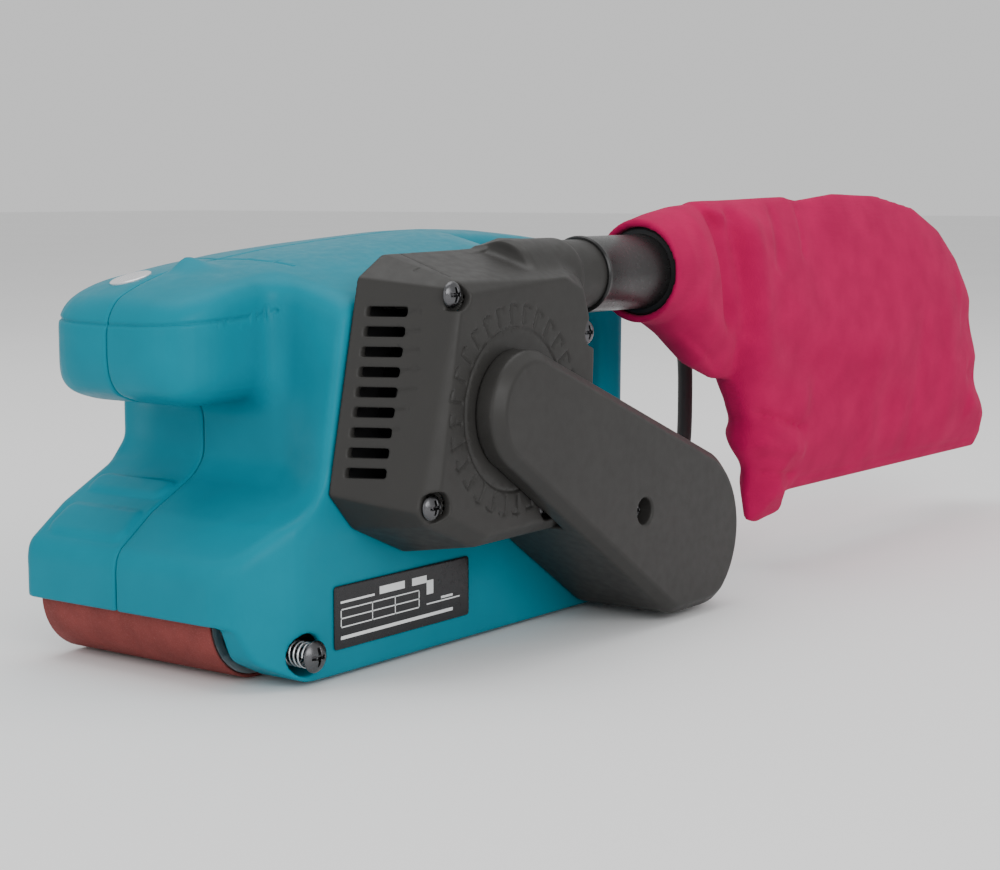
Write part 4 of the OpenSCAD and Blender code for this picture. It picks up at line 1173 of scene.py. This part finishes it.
# Folds of the cloth: from, to, width, height, and whether the edge is sharp
PANEL_FOLDS = [
    ((150, 146), (160, 96), 7, 1.6), ((136, 152), (155, 90), 4.5, -3.6), ((152, 92), (208, 66), 8, 2.2),
    ((160, 84), (300, 52), 12, -2.4), ((170, 106), (300, 76), 16, 1.4),
    ((158, 66), (204, 54), 2.6, -2.4, True), ((160, 52), (206, 44), 3.5, 2.0),
    ((164, 40), (204, 35), 2.2, -2.0, True), ((166, 28), (206, 30), 4, 1.4),
    ((178, 150), (170, 118), 4, -1.3), ((203, 150), (196, 122), 3, -1.2, True),
    ((404, 58), (360, 68), 5, -2.2), ((404, 44), (362, 52), 7, 1.6), ((396, 84), (352, 92), 6, -1.5),
    ((392, 106), (350, 106), 8, 1.1), ((266, 24), (262, 92), 9, 0.9), ((304, 24), (310, 104), 8, -0.9),
    ((344, 24), (338, 112), 10, 1.0),
]
NECK_FOLDS = [
    ((92, 108), (146, 80), 2.4, -3.4, True), ((104, 112), (150, 88), 5, 1.6),
    ((108, 100), (140, 80), 4, 1.2), ((124, 152), (142, 96), 4.5, -3.6),
    ((110, 146), (120, 116), 6, 0.8),
]


def fold(x, z, a, b, width, height, sharp=False):
    """A rounded or sharp ridge from a to b, or a crease when height is negative."""
    ex, ez = b[0] - a[0], b[1] - a[1]
    t = ((x - a[0]) * ex + (z - a[1]) * ez) / (ex * ex + ez * ez)
    off = np.abs(-(x - a[0]) * ez + (z - a[1]) * ex) / math.hypot(ex, ez) / width
    ends = smooth_step(np.clip(1 - (2 * t - 1) ** 2, 0, 1) * 1.6)
    return height * ends * (np.exp(-1.4 * off) if sharp else np.exp(-off * off))


def sum_folds(x, z, folds):
    """Offsets of the cloth, in millimetres, outwards."""
    return sum(fold(x, z, *f) for f in folds)


def panel_folds(x, z):
    """The main panel's folds and a slow wave over all of it."""
    return sum_folds(x, z, PANEL_FOLDS) + 0.35 * np.sin(x / 21.0 - z / 13.0 + 1.3)


def bag_field(x, y, z):
    edge = outline(x, z, PANEL)
    depth = np.clip(-edge, 0, None)
    left = smooth_step((215 - x) / 70) * smooth_step((z - 28) / 30)
    swell = 3.0 * left + (12.0 - 0.5 * left) * (1 - np.exp(-depth / (20 - 13 * left))) + 1.2
    hem = -0.45 * np.exp(-(((depth - 5.5) / 0.9) ** 2)) * smooth_step((x - 200) / 10) * (z < 90)
    fade = smooth_step(depth / 7)
    side = np.where(y < BAG_Y, panel_folds(x, z), panel_folds(x + 7, z - 6) * 0.8)
    half = np.clip(swell + side * fade + hem, 1.2, 17.2)
    panel = smax(edge * 0.9, (np.abs(y - BAG_Y) - half) * 0.8, 2.2)
    top = np.interp(x, NECK_X_STEPS, NECK_TOP)
    foot = np.interp(x, NECK_X_STEPS, NECK_FOOT)
    half_y = np.interp(x, NECK_X_STEPS, NECK_HALF)
    half_z, middle = (top - foot) / 2, (top + foot) / 2
    gather = sum_folds(x, z, NECK_FOLDS) * smooth_step((x - 101) / 12)
    q = np.sqrt(((y - BAG_Y) / (half_y + gather)) ** 2 + ((z - middle) / half_z) ** 2)
    neck = smax((q - 1) * 15, np.maximum(88 - x, x - 156), 1.2)
    cloth = smin(panel, neck, 1.6)
    return smax(cloth, -np.maximum(disc(y, z, PORT, 16.15), x - 101), 0.8)


def keep_in_box(obj, low, high):
    """Presses stray points of a soft piece back inside its room."""
    co = np.array([v.co[:] for v in obj.data.vertices])
    co = np.clip(co, np.array(low) * MM, np.array(high) * MM)
    obj.data.vertices.foreach_set("co", co.astype(np.float32).ravel())
    obj.data.update()


def make_bag():
    low, high = box_mm("dust_bag")
    bag = from_field("bag_shell", (86, -88, 16), (402, -52, 152), 1.25, bag_field, 0.6)
    keep_in_box(bag, (low[0] - 6, low[1] - 1, low[2] - 1), (high[0], high[1] + 1, high[2]))
    finish_piece(bag, "bag", "bag_cloth", "dust_bag")


make_neck()
make_bag()


# ---- stage ----

def area(name, at, target, size, power):
    data = bpy.data.lights.new(name, "AREA")
    data.shape = "RECTANGLE"
    data.size, data.size_y = size
    data.energy = power
    light = add_object(name, data)
    light.location = at
    light.rotation_mode = "QUATERNION"
    light.rotation_quaternion = (Vector(target) - Vector(at)).to_track_quat("-Z", "Y")


def make_stage():
    mesh = bpy.data.meshes.new("floor")
    half, drop = 12, 0.0004
    mesh.from_pydata([(-half, -half, 0), (half, -half, 0), (half, half, 0), (-half, half, 0)], [],
                     [(0, 1, 2, 3)])
    floor = add_object("floor", mesh)
    floor.location.z = -drop
    look = Look("floor_paper", (0.86, 0.86, 0.86), 0.8)
    look.vary(400, 0.01, 0.02)
    mesh.materials.append(look.material)
    world = bpy.data.worlds.new("studio")
    bpy.context.scene.world = world
    world.use_nodes = True
    world.node_tree.nodes["Background"].inputs["Color"].default_value = (1, 1, 1, 1)
    world.node_tree.nodes["Background"].inputs["Strength"].default_value = 0.78
    area("key", (-0.75, -1.35, 0.75), (0.05, 0, 0.08), (1.2, 0.9), 14)
    area("top", (0.2, 0.1, 1.6), (0.1, 0, 0.0), (1.6, 1.2), 14)
    area("fill", (-1.5, 0.1, 0.5), (0, 0, 0.08), (0.9, 0.9), 3)


make_stage()
